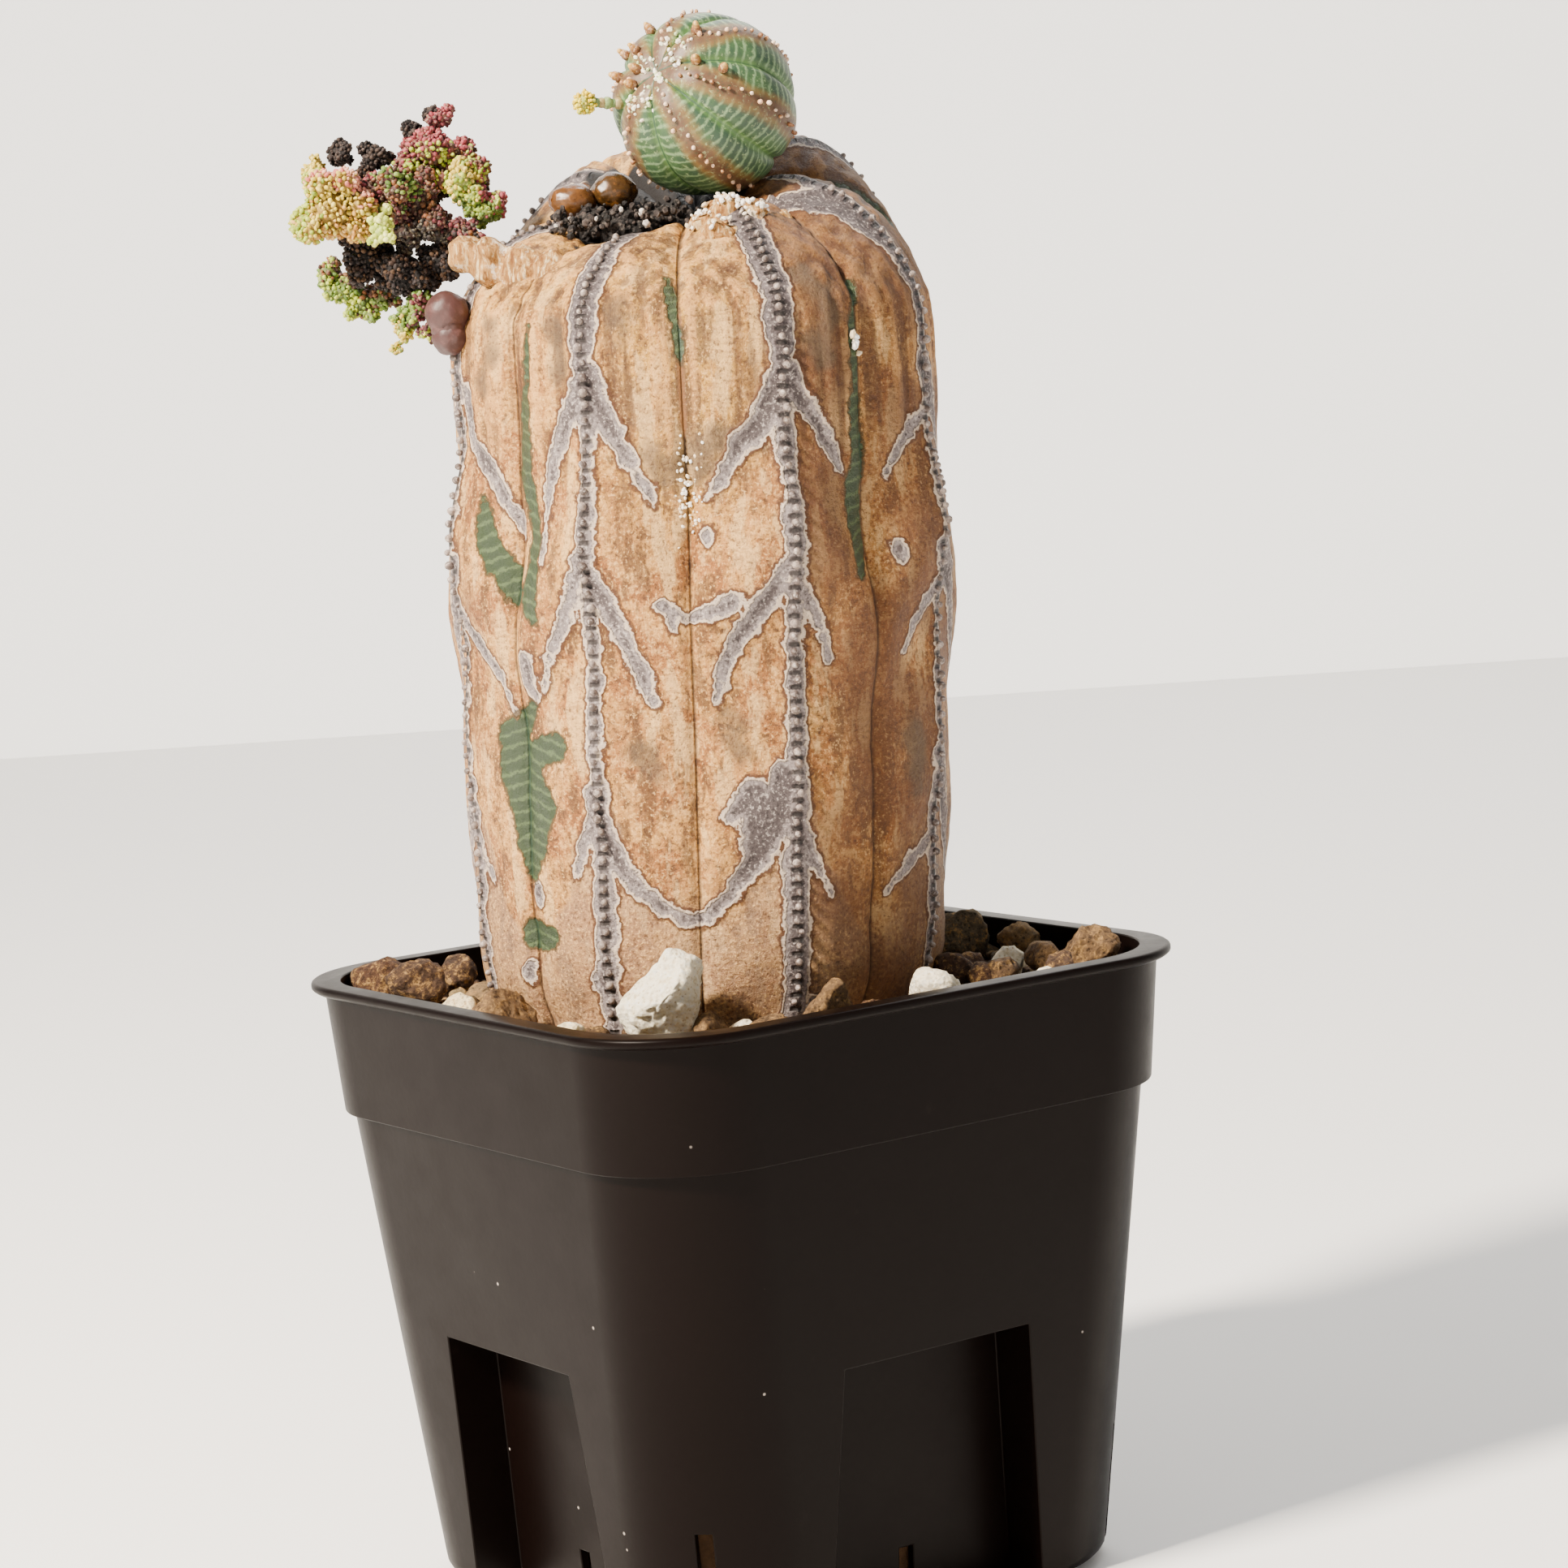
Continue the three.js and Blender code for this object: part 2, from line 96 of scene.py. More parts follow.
def rippleAt(points, size, seed=0.0):
    shift = seed * 17.3
    return np.array([noise.noise((x / size + shift, y / size, z / size)) for x, y, z in points.tolist()])


def finishPiece(name, shape, materials, standsFor=(), inPlant=True, fields=None, tints=None,
                smooth=True):
    if inPlant:
        bmesh.ops.transform(shape, matrix=plantMatrix, verts=shape.verts)
    bmesh.ops.scale(shape, vec=(mm, mm, mm), verts=shape.verts)
    for face in shape.faces:
        face.smooth = smooth
    mesh = bpy.data.meshes.new(name)
    shape.to_mesh(mesh)
    shape.free()
    for field, values in (fields or {}).items():
        layer = mesh.attributes.new(field, "FLOAT", "POINT")
        layer.data.foreach_set("value", np.asarray(values, dtype=np.float32))
    if tints is not None:
        layer = mesh.attributes.new("tint", "FLOAT_COLOR", "POINT")
        layer.data.foreach_set("color", np.asarray(tints, dtype=np.float32).ravel())
    for material in materials:
        mesh.materials.append(material)
    piece = bpy.data.objects.new(name, mesh)
    scene.collection.objects.link(piece)
    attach(piece, "root")
    if standsFor:
        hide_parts(*standsFor)
    return piece


def beadTemplate(subdivisions=1, columns=0, rows=0):
    shape = bmesh.new()
    if columns:
        bmesh.ops.create_uvsphere(shape, u_segments=columns, v_segments=rows, radius=1)
    else:
        bmesh.ops.create_icosphere(shape, subdivisions=subdivisions, radius=1)
    mesh = bpy.data.meshes.new("template")
    shape.to_mesh(mesh)
    shape.free()
    return mesh


def scatterCopies(shape, template, matrices):
    for matrix in matrices:
        copy = template.copy()
        copy.transform(matrix)
        shape.from_mesh(copy)
        bpy.data.meshes.remove(copy)


def beadMatrix(place, out, size, length, spin=0.0):
    aim = Vector(out).normalized().to_track_quat("Z", "Y").to_matrix().to_4x4()
    return (Matrix.Translation(Vector(place)) @ aim @ Matrix.Rotation(spin, 4, "Z")
            @ Matrix.Diagonal((size, size, length, 1)))


def spreadPoints(count, chance, jitter=0.25):
    # directions spread evenly over a ball, a little shaken
    golden = math.pi * (3 - math.sqrt(5))
    points = []
    for index in range(count):
        height = 1 - 2 * (index + 0.5) / count
        ring = math.sqrt(max(0, 1 - height * height))
        shake = Vector([chance.gauss(0, jitter / math.sqrt(count) * 3) for _ in range(3)])
        turn = golden * index
        points.append((Vector((ring * math.cos(turn), ring * math.sin(turn), height)) + shake).normalized())
    return points


# ---- camera, lights and floor ----

view = {
    "turn": -35.28, "rise": 6.49, "roll": -3.73,     # degrees
    "distance": 524.0, "aimSide": 7.9, "aimLevel": 103.7,
    "lens": 92.2, "sensor": 36.0,
}


def makeCamera():
    turn, rise, roll = (math.radians(view[key]) for key in ("turn", "rise", "roll"))
    back = Vector((math.sin(turn) * math.cos(rise), -math.cos(turn) * math.cos(rise), math.sin(rise)))
    side = Vector((math.cos(turn), math.sin(turn), 0))
    up = back.cross(side)
    right = side * math.cos(roll) + up * math.sin(roll)
    top = up * math.cos(roll) - side * math.sin(roll)
    camera = bpy.data.objects.new("camera", bpy.data.cameras.new("camera"))
    camera.data.lens = view["lens"]
    camera.data.sensor_width = view["sensor"]
    camera.data.clip_start = 0.01
    place = (side * view["aimSide"] + Vector((0, 0, view["aimLevel"])) + back * view["distance"]) * mm
    camera.matrix_world = Matrix((
        (right.x, top.x, back.x, place.x),
        (right.y, top.y, back.y, place.y),
        (right.z, top.z, back.z, place.z),
        (0, 0, 0, 1),
    ))
    scene.collection.objects.link(camera)
    scene.camera = camera


lamps = [
    # name, turn round the pot from the view, height angle, distance, size, power, colour
    ("keyLamp", -48, 40, 1.0, 0.14, 50.0, "#fff1df"),
    ("fillLamp", 60, 20, 1.2, 0.9, 1.6, "#fff4ea"),
    ("backLamp", 165, 48, 1.2, 0.8, 8.0, "#ffffff"),
]


def makeLamps():
    middle = Vector((0, 0, 0.11))
    for name, turn, height, distance, size, power, code in lamps:
        lamp = bpy.data.lights.new(name, "AREA")
        lamp.shape = "DISK"
        lamp.size = size
        lamp.energy = power
        lamp.color = toLinear(code)[:3]
        heading = math.radians(view["turn"] + turn)
        rise = math.radians(height)
        away = Vector((math.sin(heading) * math.cos(rise), -math.cos(heading) * math.cos(rise), math.sin(rise)))
        holder = bpy.data.objects.new(name, lamp)
        aim = away.to_track_quat("Z", "Y").to_matrix().to_4x4()
        holder.matrix_world = Matrix.Translation(middle + away * distance) @ aim
        scene.collection.objects.link(holder)
    world = bpy.data.worlds.new("studio")
    world.use_nodes = True
    world.node_tree.nodes["Background"].inputs[0].default_value = toLinear("#ffffff")
    world.node_tree.nodes["Background"].inputs[1].default_value = 0.36
    scene.world = world


def makeFloor():
    # matt white paper floor
    material, tree, shader = startMaterial("mattPaper", {"Base Color": toLinear("#f6f5f3"), "Roughness": 0.9})
    shape = bmesh.new()
    bmesh.ops.create_circle(shape, cap_ends=True, segments=96, radius=6)
    mesh = bpy.data.meshes.new("floor")
    shape.to_mesh(mesh)
    shape.free()
    mesh.materials.append(material)
    floor = bpy.data.objects.new("floor", mesh)
    scene.collection.objects.link(floor)


def makeBackdrop():
    # backlit paper behind the plant, which leaves the front of the pot dark
    material, tree, shader = startMaterial("backlitPaper", {
        "Base Color": toLinear("#f6f5f3"), "Roughness": 0.9,
        "Emission Color": toLinear("#f4f3f0"), "Emission Strength": 0.8})
    shape = bmesh.new()
    bmesh.ops.create_grid(shape, x_segments=1, y_segments=1, size=1)
    heading = math.radians(view["turn"])
    for vert in shape.verts:
        side, level = vert.co.x * 1.8, 0.8 + vert.co.y * 0.8
        vert.co = (math.cos(heading) * side - math.sin(heading) * 1.2,
                   math.sin(heading) * side + math.cos(heading) * 1.2, level)
    mesh = bpy.data.meshes.new("backdrop")
    shape.to_mesh(mesh)
    shape.free()
    mesh.materials.append(material)
    backdrop = bpy.data.objects.new("backdrop", mesh)
    scene.collection.objects.link(backdrop)


makeCamera()
makeLamps()
makeFloor()
makeBackdrop()
print("camera, lamps and paper are set")


# ---- pot ----

pot = {
    "lipThickness": 1.4, "lipOverhang": 1.3, "lipRound": 0.45,
    "collarHeight": 16.0, "collarTaper": 1.1, "collarStep": 0.9,
    "wallTaper": 5.6, "wall": 1.2, "floor": 1.6,
    "cornerRadius": 16.0, "footRadius": 3.0, "cornerPoints": 22,
    "panelHeight": 35.7, "panelTop": 29.0, "panelBottom": 34.0, "panelDepth": 7.2,
    "slotWidth": 2.2, "cornerSlot": 17.8, "panelSlot": 8.0, "slotLength": 12.0,
    "edge": 0.28,                            # softened moulding edges
}
pot["half"] = potHigh.x
pot["height"] = potHigh.z
pot["collarHalf"] = pot["half"] - pot["lipOverhang"]
pot["collarLevel"] = pot["height"] - pot["lipThickness"] - pot["collarHeight"]
pot["wallHalf"] = pot["collarHalf"] - pot["collarTaper"] - pot["collarStep"]
pot["footHalf"] = pot["wallHalf"] - pot["wallTaper"]


def mouldedPlastic():
    # injection moulded polypropylene: near black, a soft gloss that shows the light as broad streaks,
    # with fine dust and a few scuffs
    material, tree, shader = startMaterial("mouldedPolypropylene", {"IOR": 1.49, "Specular IOR Level": 0.06})
    place = addNode(tree, "ShaderNodeTexCoord").outputs["Object"]
    cloud = addNode(tree, "ShaderNodeTexNoise", None,
                    {"Vector": place, "Scale": perMm(38), "Detail": 3}).outputs["Fac"]
    grain = addNode(tree, "ShaderNodeTexNoise", None,
                    {"Vector": place, "Scale": perMm(0.9), "Detail": 4}).outputs["Fac"]
    colour = addNode(tree, "ShaderNodeMix", {"data_type": "RGBA"},
                     {0: cloud, 6: toLinear("#0b0504"), 7: toLinear("#080403")}).outputs[2]
    specks = addNode(tree, "ShaderNodeTexVoronoi", {"feature": "F1"},
                     {"Vector": place, "Scale": perMm(5.5)})
    dot = addNode(tree, "ShaderNodeMapRange", {"interpolation_type": "SMOOTHSTEP"},
                  {"Value": specks.outputs["Distance"], "From Min": 0.05, "From Max": 0.02}).outputs[0]
    chosen = addNode(tree, "ShaderNodeMapRange", None,
                     {"Value": specks.outputs["Color"], "From Min": 0.62, "From Max": 0.66}).outputs[0]
    dust = addNode(tree, "ShaderNodeMath", {"operation": "MULTIPLY"}, {0: dot, 1: chosen}).outputs[0]
    smear = addNode(tree, "ShaderNodeTexNoise", None,
                    {"Vector": place, "Scale": perMm(7), "Detail": 8, "Roughness": 0.75}).outputs["Fac"]
    haze = addNode(tree, "ShaderNodeMapRange", {"interpolation_type": "SMOOTHSTEP"},
                   {"Value": smear, "From Min": 0.62, "From Max": 0.8, "To Max": 0.05}).outputs[0]
    for mask, code in ((haze, "#5d534e"), (dust, "#9a928c")):
        colour = addNode(tree, "ShaderNodeMix", {"data_type": "RGBA"},
                         {0: mask, 6: colour, 7: toLinear(code)}).outputs[2]
    tree.links.new(colour, shader.inputs["Base Color"])
    rough = addNode(tree, "ShaderNodeMapRange", None,
                    {"Value": smear, "From Min": 0.3, "From Max": 0.8, "To Min": 0.32, "To Max": 0.46})
    tree.links.new(rough.outputs[0], shader.inputs["Roughness"])
    bump = addNode(tree, "ShaderNodeBump", None, {"Height": grain, "Strength": 0.12, "Distance": 0.00008})
    tree.links.new(bump.outputs[0], shader.inputs["Normal"])
    return material


def spunProfile(profile):
    # a profile of (half width, level) pairs turned about the pot's axis
    shape = bmesh.new()
    verts = [shape.verts.new((half, 0, level)) for half, level in profile]
    edges = [shape.edges.new(pair) for pair in zip(verts, verts[1:])]
    bmesh.ops.spin(shape, geom=verts + edges, cent=(0, 0, 0), axis=(0, 0, 1), dvec=(0, 0, 0),
                   angle=math.tau, steps=4 * pot["cornerPoints"], use_merge=True)
    bmesh.ops.remove_doubles(shape, verts=shape.verts, dist=1e-4)
    return shape


def squareOff(shape, inset):
    # turns a round shape into the pot's rounded square, its radius becoming the half width
    points = pot["cornerPoints"]
    for vert in shape.verts:
        half = math.hypot(vert.co.x, vert.co.y)
        if half < 1e-6:
            continue
        step = round(math.atan2(vert.co.y, vert.co.x) / math.tau * 4 * points) % (4 * points)
        corner, place = divmod(step, points)
        sweep = (place / (points - 1) + corner) * math.pi / 2
        radius = min(max(pot["cornerRadius"] - inset, 1), half * 0.9)
        middle = (corner + 0.5) * math.pi / 2
        reach = (half - radius) * math.sqrt(2)
        vert.co.x = math.cos(middle) * reach + math.cos(sweep) * radius
        vert.co.y = math.sin(middle) * reach + math.sin(sweep) * radius
    bmesh.ops.recalc_face_normals(shape, faces=shape.faces)


def potOutside():
    foot, lip, height = pot["footRadius"], pot["lipRound"], pot["height"]
    profile = [(0, 0)]
    for angle in range(0, 91, 15):
        turn = math.radians(angle)
        profile.append((pot["footHalf"] - foot * (1 - math.sin(turn)), foot * (1 - math.cos(turn))))
    profile += [
        (pot["wallHalf"], pot["collarLevel"]),
        (pot["wallHalf"] + pot["collarStep"], pot["collarLevel"]),
        (pot["collarHalf"], height - pot["lipThickness"]),
        (pot["half"] - lip, height - pot["lipThickness"]),
        (pot["half"], height - pot["lipThickness"] + lip),
    ]
    for angle in (0, 30, 60, 90):
        turn = math.radians(angle)
        profile.append((pot["half"] - lip * (1 - math.cos(turn)), height - lip * (1 - math.sin(turn))))
    profile.append((0, height))
    shape = spunProfile(profile)
    squareOff(shape, 0)
    return shape


def potInside():
    wall, top = pot["wall"], pot["height"] + 1
    ledge = pot["collarLevel"] + wall
    upper = (top - ledge) * pot["collarTaper"] / pot["collarHalf"]
    shape = spunProfile([
        (0, pot["floor"]),
        (pot["footHalf"] - wall - 1, pot["floor"]),
        (pot["wallHalf"] - wall, pot["collarLevel"]),
        (pot["wallHalf"] + pot["collarStep"] - wall, ledge),
        (pot["wallHalf"] + pot["collarStep"] - wall + upper, top),
        (0, top),
    ])
    squareOff(shape, wall)
    return shape


def panelBlocks(skin):
    shape = bmesh.new()
    topHalf = pot["wallHalf"] - pot["wallTaper"] * (1 - pot["panelHeight"] / pot["collarLevel"])
    for side in range(4):
        verts = bmesh.ops.create_cube(shape, size=2)["verts"]
        for vert in verts:
            top = vert.co.z > 0
            half = (pot["panelTop"] if top else pot["panelBottom"]) / 2 + skin
            wall = topHalf if top else pot["footHalf"]
            depth = pot["half"] if vert.co.y < 0 else wall - pot["panelDepth"] - skin
            vert.co = Vector((vert.co.x * half, -depth, pot["panelHeight"] + skin if top else -1))
        bmesh.ops.rotate(shape, verts=verts, cent=(0, 0, 0), matrix=Matrix.Rotation(side * math.pi / 2, 3, "Z"))
    return shape


def drainSlots():
    shape = bmesh.new()
    cornerReach = (pot["footHalf"] - pot["cornerRadius"]) * math.sqrt(2) + pot["cornerRadius"]
    for side in range(4):
        for start, height, extra in (
            (pot["footHalf"] - pot["panelDepth"] - pot["slotLength"], pot["panelSlot"], 0),
            (cornerReach - pot["slotLength"], pot["cornerSlot"], math.pi / 4),
        ):
            verts = bmesh.ops.create_cube(shape, size=1)["verts"]
            length = pot["half"] * 2
            bmesh.ops.scale(shape, verts=verts, vec=(length, pot["slotWidth"], height + 1))
            bmesh.ops.translate(shape, verts=verts, vec=(start + length / 2, 0, (height - 1) / 2))
            bmesh.ops.rotate(shape, verts=verts, cent=(0, 0, 0),
                             matrix=Matrix.Rotation(side * math.pi / 2 + extra, 3, "Z"))
    return shape


def cutShape(whole, cutters):
    # cuts one shape with others and gives back the cut shape
    objects = []
    for shape in [whole, *cutters]:
        mesh = bpy.data.meshes.new("cutting")
        shape.to_mesh(mesh)
        shape.free()
        objects.append(bpy.data.objects.new("cutting", mesh))
        scene.collection.objects.link(objects[-1])
    for cutter in objects[1:]:
        modifier = objects[0].modifiers.new("cut", "BOOLEAN")
        modifier.operation = "DIFFERENCE"
        modifier.solver = "EXACT"
        modifier.object = cutter
    bpy.context.view_layer.update()
    cut = bmesh.new()
    cut.from_object(objects[0], bpy.context.evaluated_depsgraph_get())
    for made in objects:
        mesh = made.data
        bpy.data.objects.remove(made)
        bpy.data.meshes.remove(mesh)
    return cut


def makePot():
    cavity = cutShape(potInside(), [panelBlocks(pot["wall"])])
    shape = cutShape(potOutside(), [panelBlocks(0), cavity, drainSlots()])
    bmesh.ops.remove_doubles(shape, verts=shape.verts, dist=1e-3)
    flat = math.radians(1.2)
    bmesh.ops.dissolve_limit(shape, angle_limit=flat * 0.3, verts=shape.verts, edges=shape.edges)
    piece = finishPiece("nursery_pot", shape, [mouldedPlastic()], ["pot"], inPlant=False)
    soften = piece.modifiers.new("soften", "BEVEL")
    soften.width = pot["edge"] * mm
    soften.segments = 2
    soften.limit_method = "ANGLE"
    soften.angle_limit = math.radians(34)
    piece.data.set_sharp_from_angle(angle=math.radians(50))


makePot()
print("pot is made")


# ---- stem surface ----

# Places on the stem are given as a turn from the plant's front in degrees, positive to the right,
# and a mark: the height in mm up to the shoulder, then the way on over the crown.
stem = {
    "segments": 320, "rings": 288, "rootRings": 18,
    "foot": bedLevel - 5.5, "shoulder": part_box("substrate")[1].z / mm + 89.5, "crownSpan": 40.0,
    "ribs": 8, "ribTurn": 20.5, "ribFall": 0.035, "furrow": 0.012,
    "lean": -3.0,
    # crest radius at heights over the bed
    "outline": [(-5.5, 29), (1, 29), (6, 30.1), (11.5, 31), (19, 31.2), (25, 31.1), (31.5, 32.2), (38, 32.4),
                (44, 32.3), (50.5, 31.9), (57, 33.2), (63, 34), (69.5, 32.5), (75.5, 31.2), (82, 31.8),
                (86, 31.9), (89.5, 31.3), (100, 30.8)],
    "slide": 13.0,                           # the swellings sink this far from crest to furrow
    "crownRise": 18.5, "crownTilt": 5.5, "crownTiltTurn": -25.0,
    "poleRise": 13.0, "poleShift": (1.5, -5.0),
    "root": [(0, 1), (0.22, 0.75), (0.5, 0.35), (0.75, 0.18), (0.9, 0.1)],
}
# lumps on the crown: side, depth away, height, radius
crownLumps = [(16, 12, 4.2, 9), (-11, 13, 4.6, 8), (25, 1, 1.4, 7), (-7.5, -10.5, -3.4, 5.5), (-14, 3, 1.2, 6),
              (-24, -11, 1.5, 6), (6, -17, 1.0, 5)]

ribTurns = [stem["ribTurn"] + 45 * step for step in range(-4, 4)]


def wrapTurn(turns):
    return (turns + 180) % 360 - 180


def ribAway(turns):
    # 0 on a crest, 1 in a furrow
    phase = (turns - stem["ribTurn"]) / 45 % 1
    return 1 - np.abs(phase - 0.5) * 2


def ribSection(turns):
    away = ribAway(turns)
    return 1 - stem["ribFall"] * away ** 1.3 - stem["furrow"] * np.exp(-((1 - away) / 0.1) ** 2)


def outlineAt(marks):
    heights, radii = zip(*stem["outline"])
    total = sum(np.interp(marks - bedLevel + shift, heights, radii) for shift in (-3, -1.5, 0, 1.5, 3))
    return total / 5


def stemPlaces(turns, marks, relief=0.0):
    turn = np.radians(turns)
    away = ribAway(turns)
    climb = np.clip((marks - bedLevel) / (stem["shoulder"] - bedLevel), 0, 1)
    slide = stem["slide"] * away ** 1.2 * smoothRange(marks, bedLevel, bedLevel + 12) \
        * (1 - smoothRange(marks, stem["shoulder"] - 18, stem["shoulder"]))
    share = 1 - np.clip((marks - stem["shoulder"]) / stem["crownSpan"], 0, 1) ** 1.47
    onCrown = share < 1
    # sides
    radius = outlineAt(np.minimum(marks, stem["shoulder"]) + slide) * ribSection(turns)
    lean = stem["lean"] * (1 - climb) ** 1.4
    # crown
    rise = stem["crownRise"] - stem["crownTilt"] * np.cos(turn - math.radians(stem["crownTiltTurn"]))
    dome = rise * (1 - share ** 2.8) ** 0.7 - (rise - stem["poleRise"]) * np.exp(-(share / 0.3) ** 2)
    fade = smoothRange(share, 0, 0.6)
    section = 1 + (ribSection(turns) - 1) * fade
    radius = np.where(onCrown, outlineAt(np.full_like(marks, stem["shoulder"])) * share * section, radius)
    shift = (1 - share) ** 2
    x = np.sin(turn) * radius + lean + stem["poleShift"][0] * shift
    y = -np.cos(turn) * radius + stem["poleShift"][1] * shift
    z = np.where(onCrown, stem["shoulder"] + dome, marks)
    # the furrows run in between the ribs on the crown
    folded = np.sin(np.clip(1 - share, 0, 1) * math.pi) * (1.1 + 0.9 * (np.cos(turn - 2.4) > 0) * 1.0)
    z = z - onCrown * folded * (away ** 1.6 + 0.5 * np.exp(-((1 - away) / 0.16) ** 2))
    for side, depth, height, size in crownLumps:
        lift = height * np.exp(-((x - side) ** 2 + (y - depth) ** 2) / size ** 2)
        z = z + lift * smoothRange(1 - share, 0.0, 0.25)
    out = np.clip(share, 0, 1) ** 2
    x = x + np.sin(turn) * relief * out
    y = y - np.cos(turn) * relief * out
    z = z + relief * (1 - out)
    return np.stack([x, y, z], 1)


def stemPoint(turn, mark, relief=0.0):
    return Vector(stemPlaces(np.array([float(turn)]), np.array([float(mark)]), relief)[0])


def stemOut(turn, mark):
    here = stemPoint(turn, mark)
    side = stemPoint(turn + 1, mark) - here
    up = stemPoint(turn, mark + 0.5) - here
    return side.cross(up).normalized()


# Scars drawn as strokes of (turn, mark, half width). Grey cork spreads in arms from each crest.
scarArms = [
    [(-24, 159, 1.6), (-21, 154, 1.3), (-17, 150, 1.1), (-13, 146, 0.9), (-10, 143, 0.6)],
    [(-25, 158, 1.4), (-30, 153, 1.2), (-34, 148, 1), (-36, 144, 0.6), (-36, 140, 0.3), (-37, 136, 0.2)],
    [(21, 157, 2.2), (16, 152, 1.8), (10, 149, 1.2), (6, 145, 0.8), (3, 143, 0.5)],
    [(22, 156, 1.4), (28, 152, 1.2), (32, 148, 1), (35, 145, 0.5)],
    [(-65, 158, 0.8), (-63, 151, 1.2), (-54, 146, 1.2), (-49, 142, 0.8), (-46, 139, 0.4)],
    [(66, 168, 1.2), (64, 176, 2.2), (58, 184, 2.8), (44, 189, 1.8)],
    [(74, 153, 0.7), (61, 150, 1), (54, 147, 0.7), (50, 144, 0.4)],
    [(-26, 136, 1.4), (-21, 131, 1.4), (-17, 126, 1.1), (-13, 121, 0.9), (-11, 118, 0.5)],
    [(-27, 134, 1), (-31, 129, 0.9), (-36, 124, 0.7), (-39, 120, 0.4)],
    [(-43, 124, 1.2), (-43, 121, 0.8), (-41, 119, 0.4)],
    [(19, 134, 1.2), (13, 129, 1.4), (7, 125, 1), (4, 121, 0.8), (3, 118, 0.5)],
    [(20, 134, 0.8), (24, 129, 0.6), (27, 126, 0.5), (29, 122, 0.3)],
    [(-71, 130, 1), (-61, 126, 1), (-53, 122, 0.7), (-49, 117, 0.3)],
    [(71, 131, 1.2), (60, 128, 0.9), (55, 125, 0.7), (52, 122, 0.4)],
    [(-8, 130, 0.7), (-6, 129, 0.6), (-6, 127, 0.4)],
    [(-3, 128, 0.5), (2, 129, 1.2), (7, 130, 1)],
    [(-25, 107, 1.6), (-24, 102, 1.4), (-19, 97, 1.2), (-12, 93, 1), (-5, 91, 0.8), (-2, 91, 0.6)],
    [(18, 108, 2), (15, 103, 2.4), (11, 98, 1.8), (5, 94, 1), (-1, 91, 0.6)],
    [(6, 104, 1.4), (11, 106, 2.2), (11, 100, 2)],
    [(-26, 104, 1), (-30, 100, 0.8), (-32, 97, 0.5)],
    [(21, 102, 0.8), (25, 97, 0.7), (29, 93, 0.4)],
    [(67, 98, 0.8), (55, 95, 0.7), (47, 92, 0.4)],
    [(-78, 103, 0.8), (-70, 100, 0.7), (-63, 96, 0.5)],
    [(2, 138, 0.8), (2.2, 138.5, 0.7)], [(50, 134, 1), (50.2, 134.4, 1)], [(-44, 94, 0.9), (-44, 95, 0.8)],
    [(-50, 84, 1), (-49, 85, 0.8)], [(-11, 82, 1), (-9, 82, 1)], [(25, 79, 1), (29, 79, 0.8)],
    [(-27, 84, 0.8), (-27, 83, 0.8)], [(68, 81, 0.5), (66, 81, 0.5)],
]
# darker patches drawn as strokes of (turn, mark, half width); the long one across the upper centre panel is a stain
darkPatches = [
    [(-14, 149, 1.5), (-6, 147, 2.5), (4, 149, 2.2), (12, 150, 1.2)],
    [(-16, 168, 1.5), (-15, 162, 1)], [(29, 172, 1.4), (34, 164, 1.8), (30, 158, 1)],
    [(-55, 166, 1), (-56, 158, 1.2)], [(8, 112, 1.4), (5, 116, 1.2)], [(-14, 113, 1.5), (-12, 110, 1.2)],
    [(55, 112, 1.8), (57, 104, 1.4)], [(-33, 168, 1.2), (-31, 160, 1.2)],
]
greenPatches = [
    [(-40, 165, 0.3), (-41, 158, 0.6), (-43, 155, 1), (-44, 147, 1.3), (-42, 143, 1.1), (-40, 139, 1.1),
     (-40, 135, 1.4), (-41, 132, 1.6), (-39, 129, 0.8)],
    [(-59, 144, 0.5), (-58, 141, 1.3), (-56, 138, 1.7), (-51, 135, 1.6), (-47, 132, 1.5)],
    [(-43, 118, 0.6), (-51, 114, 2.5), (-48, 110, 3.7), (-44, 105, 3.7), (-45, 101, 2.8), (-46, 97, 1)],
    [(-44, 112, 2), (-36, 113, 1.8)],
    [(-48, 89, 1.8), (-41, 89, 1.4)],
    [(44, 169, 0.4), (41, 163, 0.7), (41, 155, 0.9), (41, 147, 1.2), (39, 141, 1.5), (39, 136, 1.4), (38, 132, 0.6)],
    [(-5, 173, 0.5), (-4, 168, 0.7), (-3, 163, 0.5), (-2, 159, 0.3)],
    # sides and back
    [(88, 186, 1), (88, 176, 1.6), (89, 166, 1.4), (88, 154, 1.5), (87, 146, 0.7)],
    [(-92, 162, 0.6), (-92, 154, 1.2), (-93, 147, 0.7)],
    [(-94, 136, 1.4), (-92, 130, 2.4), (-92, 122, 1.2)],
    [(133, 182, 1.2), (133, 170, 1.6), (133, 158, 1.3), (132, 150, 0.5)],
    [(134, 116, 1), (130, 111, 3), (134, 104, 3.2), (133, 97, 1)],
    [(178, 160, 0.6), (178, 150, 1.6), (177, 139, 2.2), (178, 131, 0.6)],
    [(-137, 150, 0.6), (-137, 141, 1.4), (-136, 133, 0.5)],
    [(-138, 113, 1.2), (-134, 107, 3.4), (-137, 98, 1.4)],
    [(88, 108, 0.8), (87, 102, 2), (88, 95, 0.6)],
]


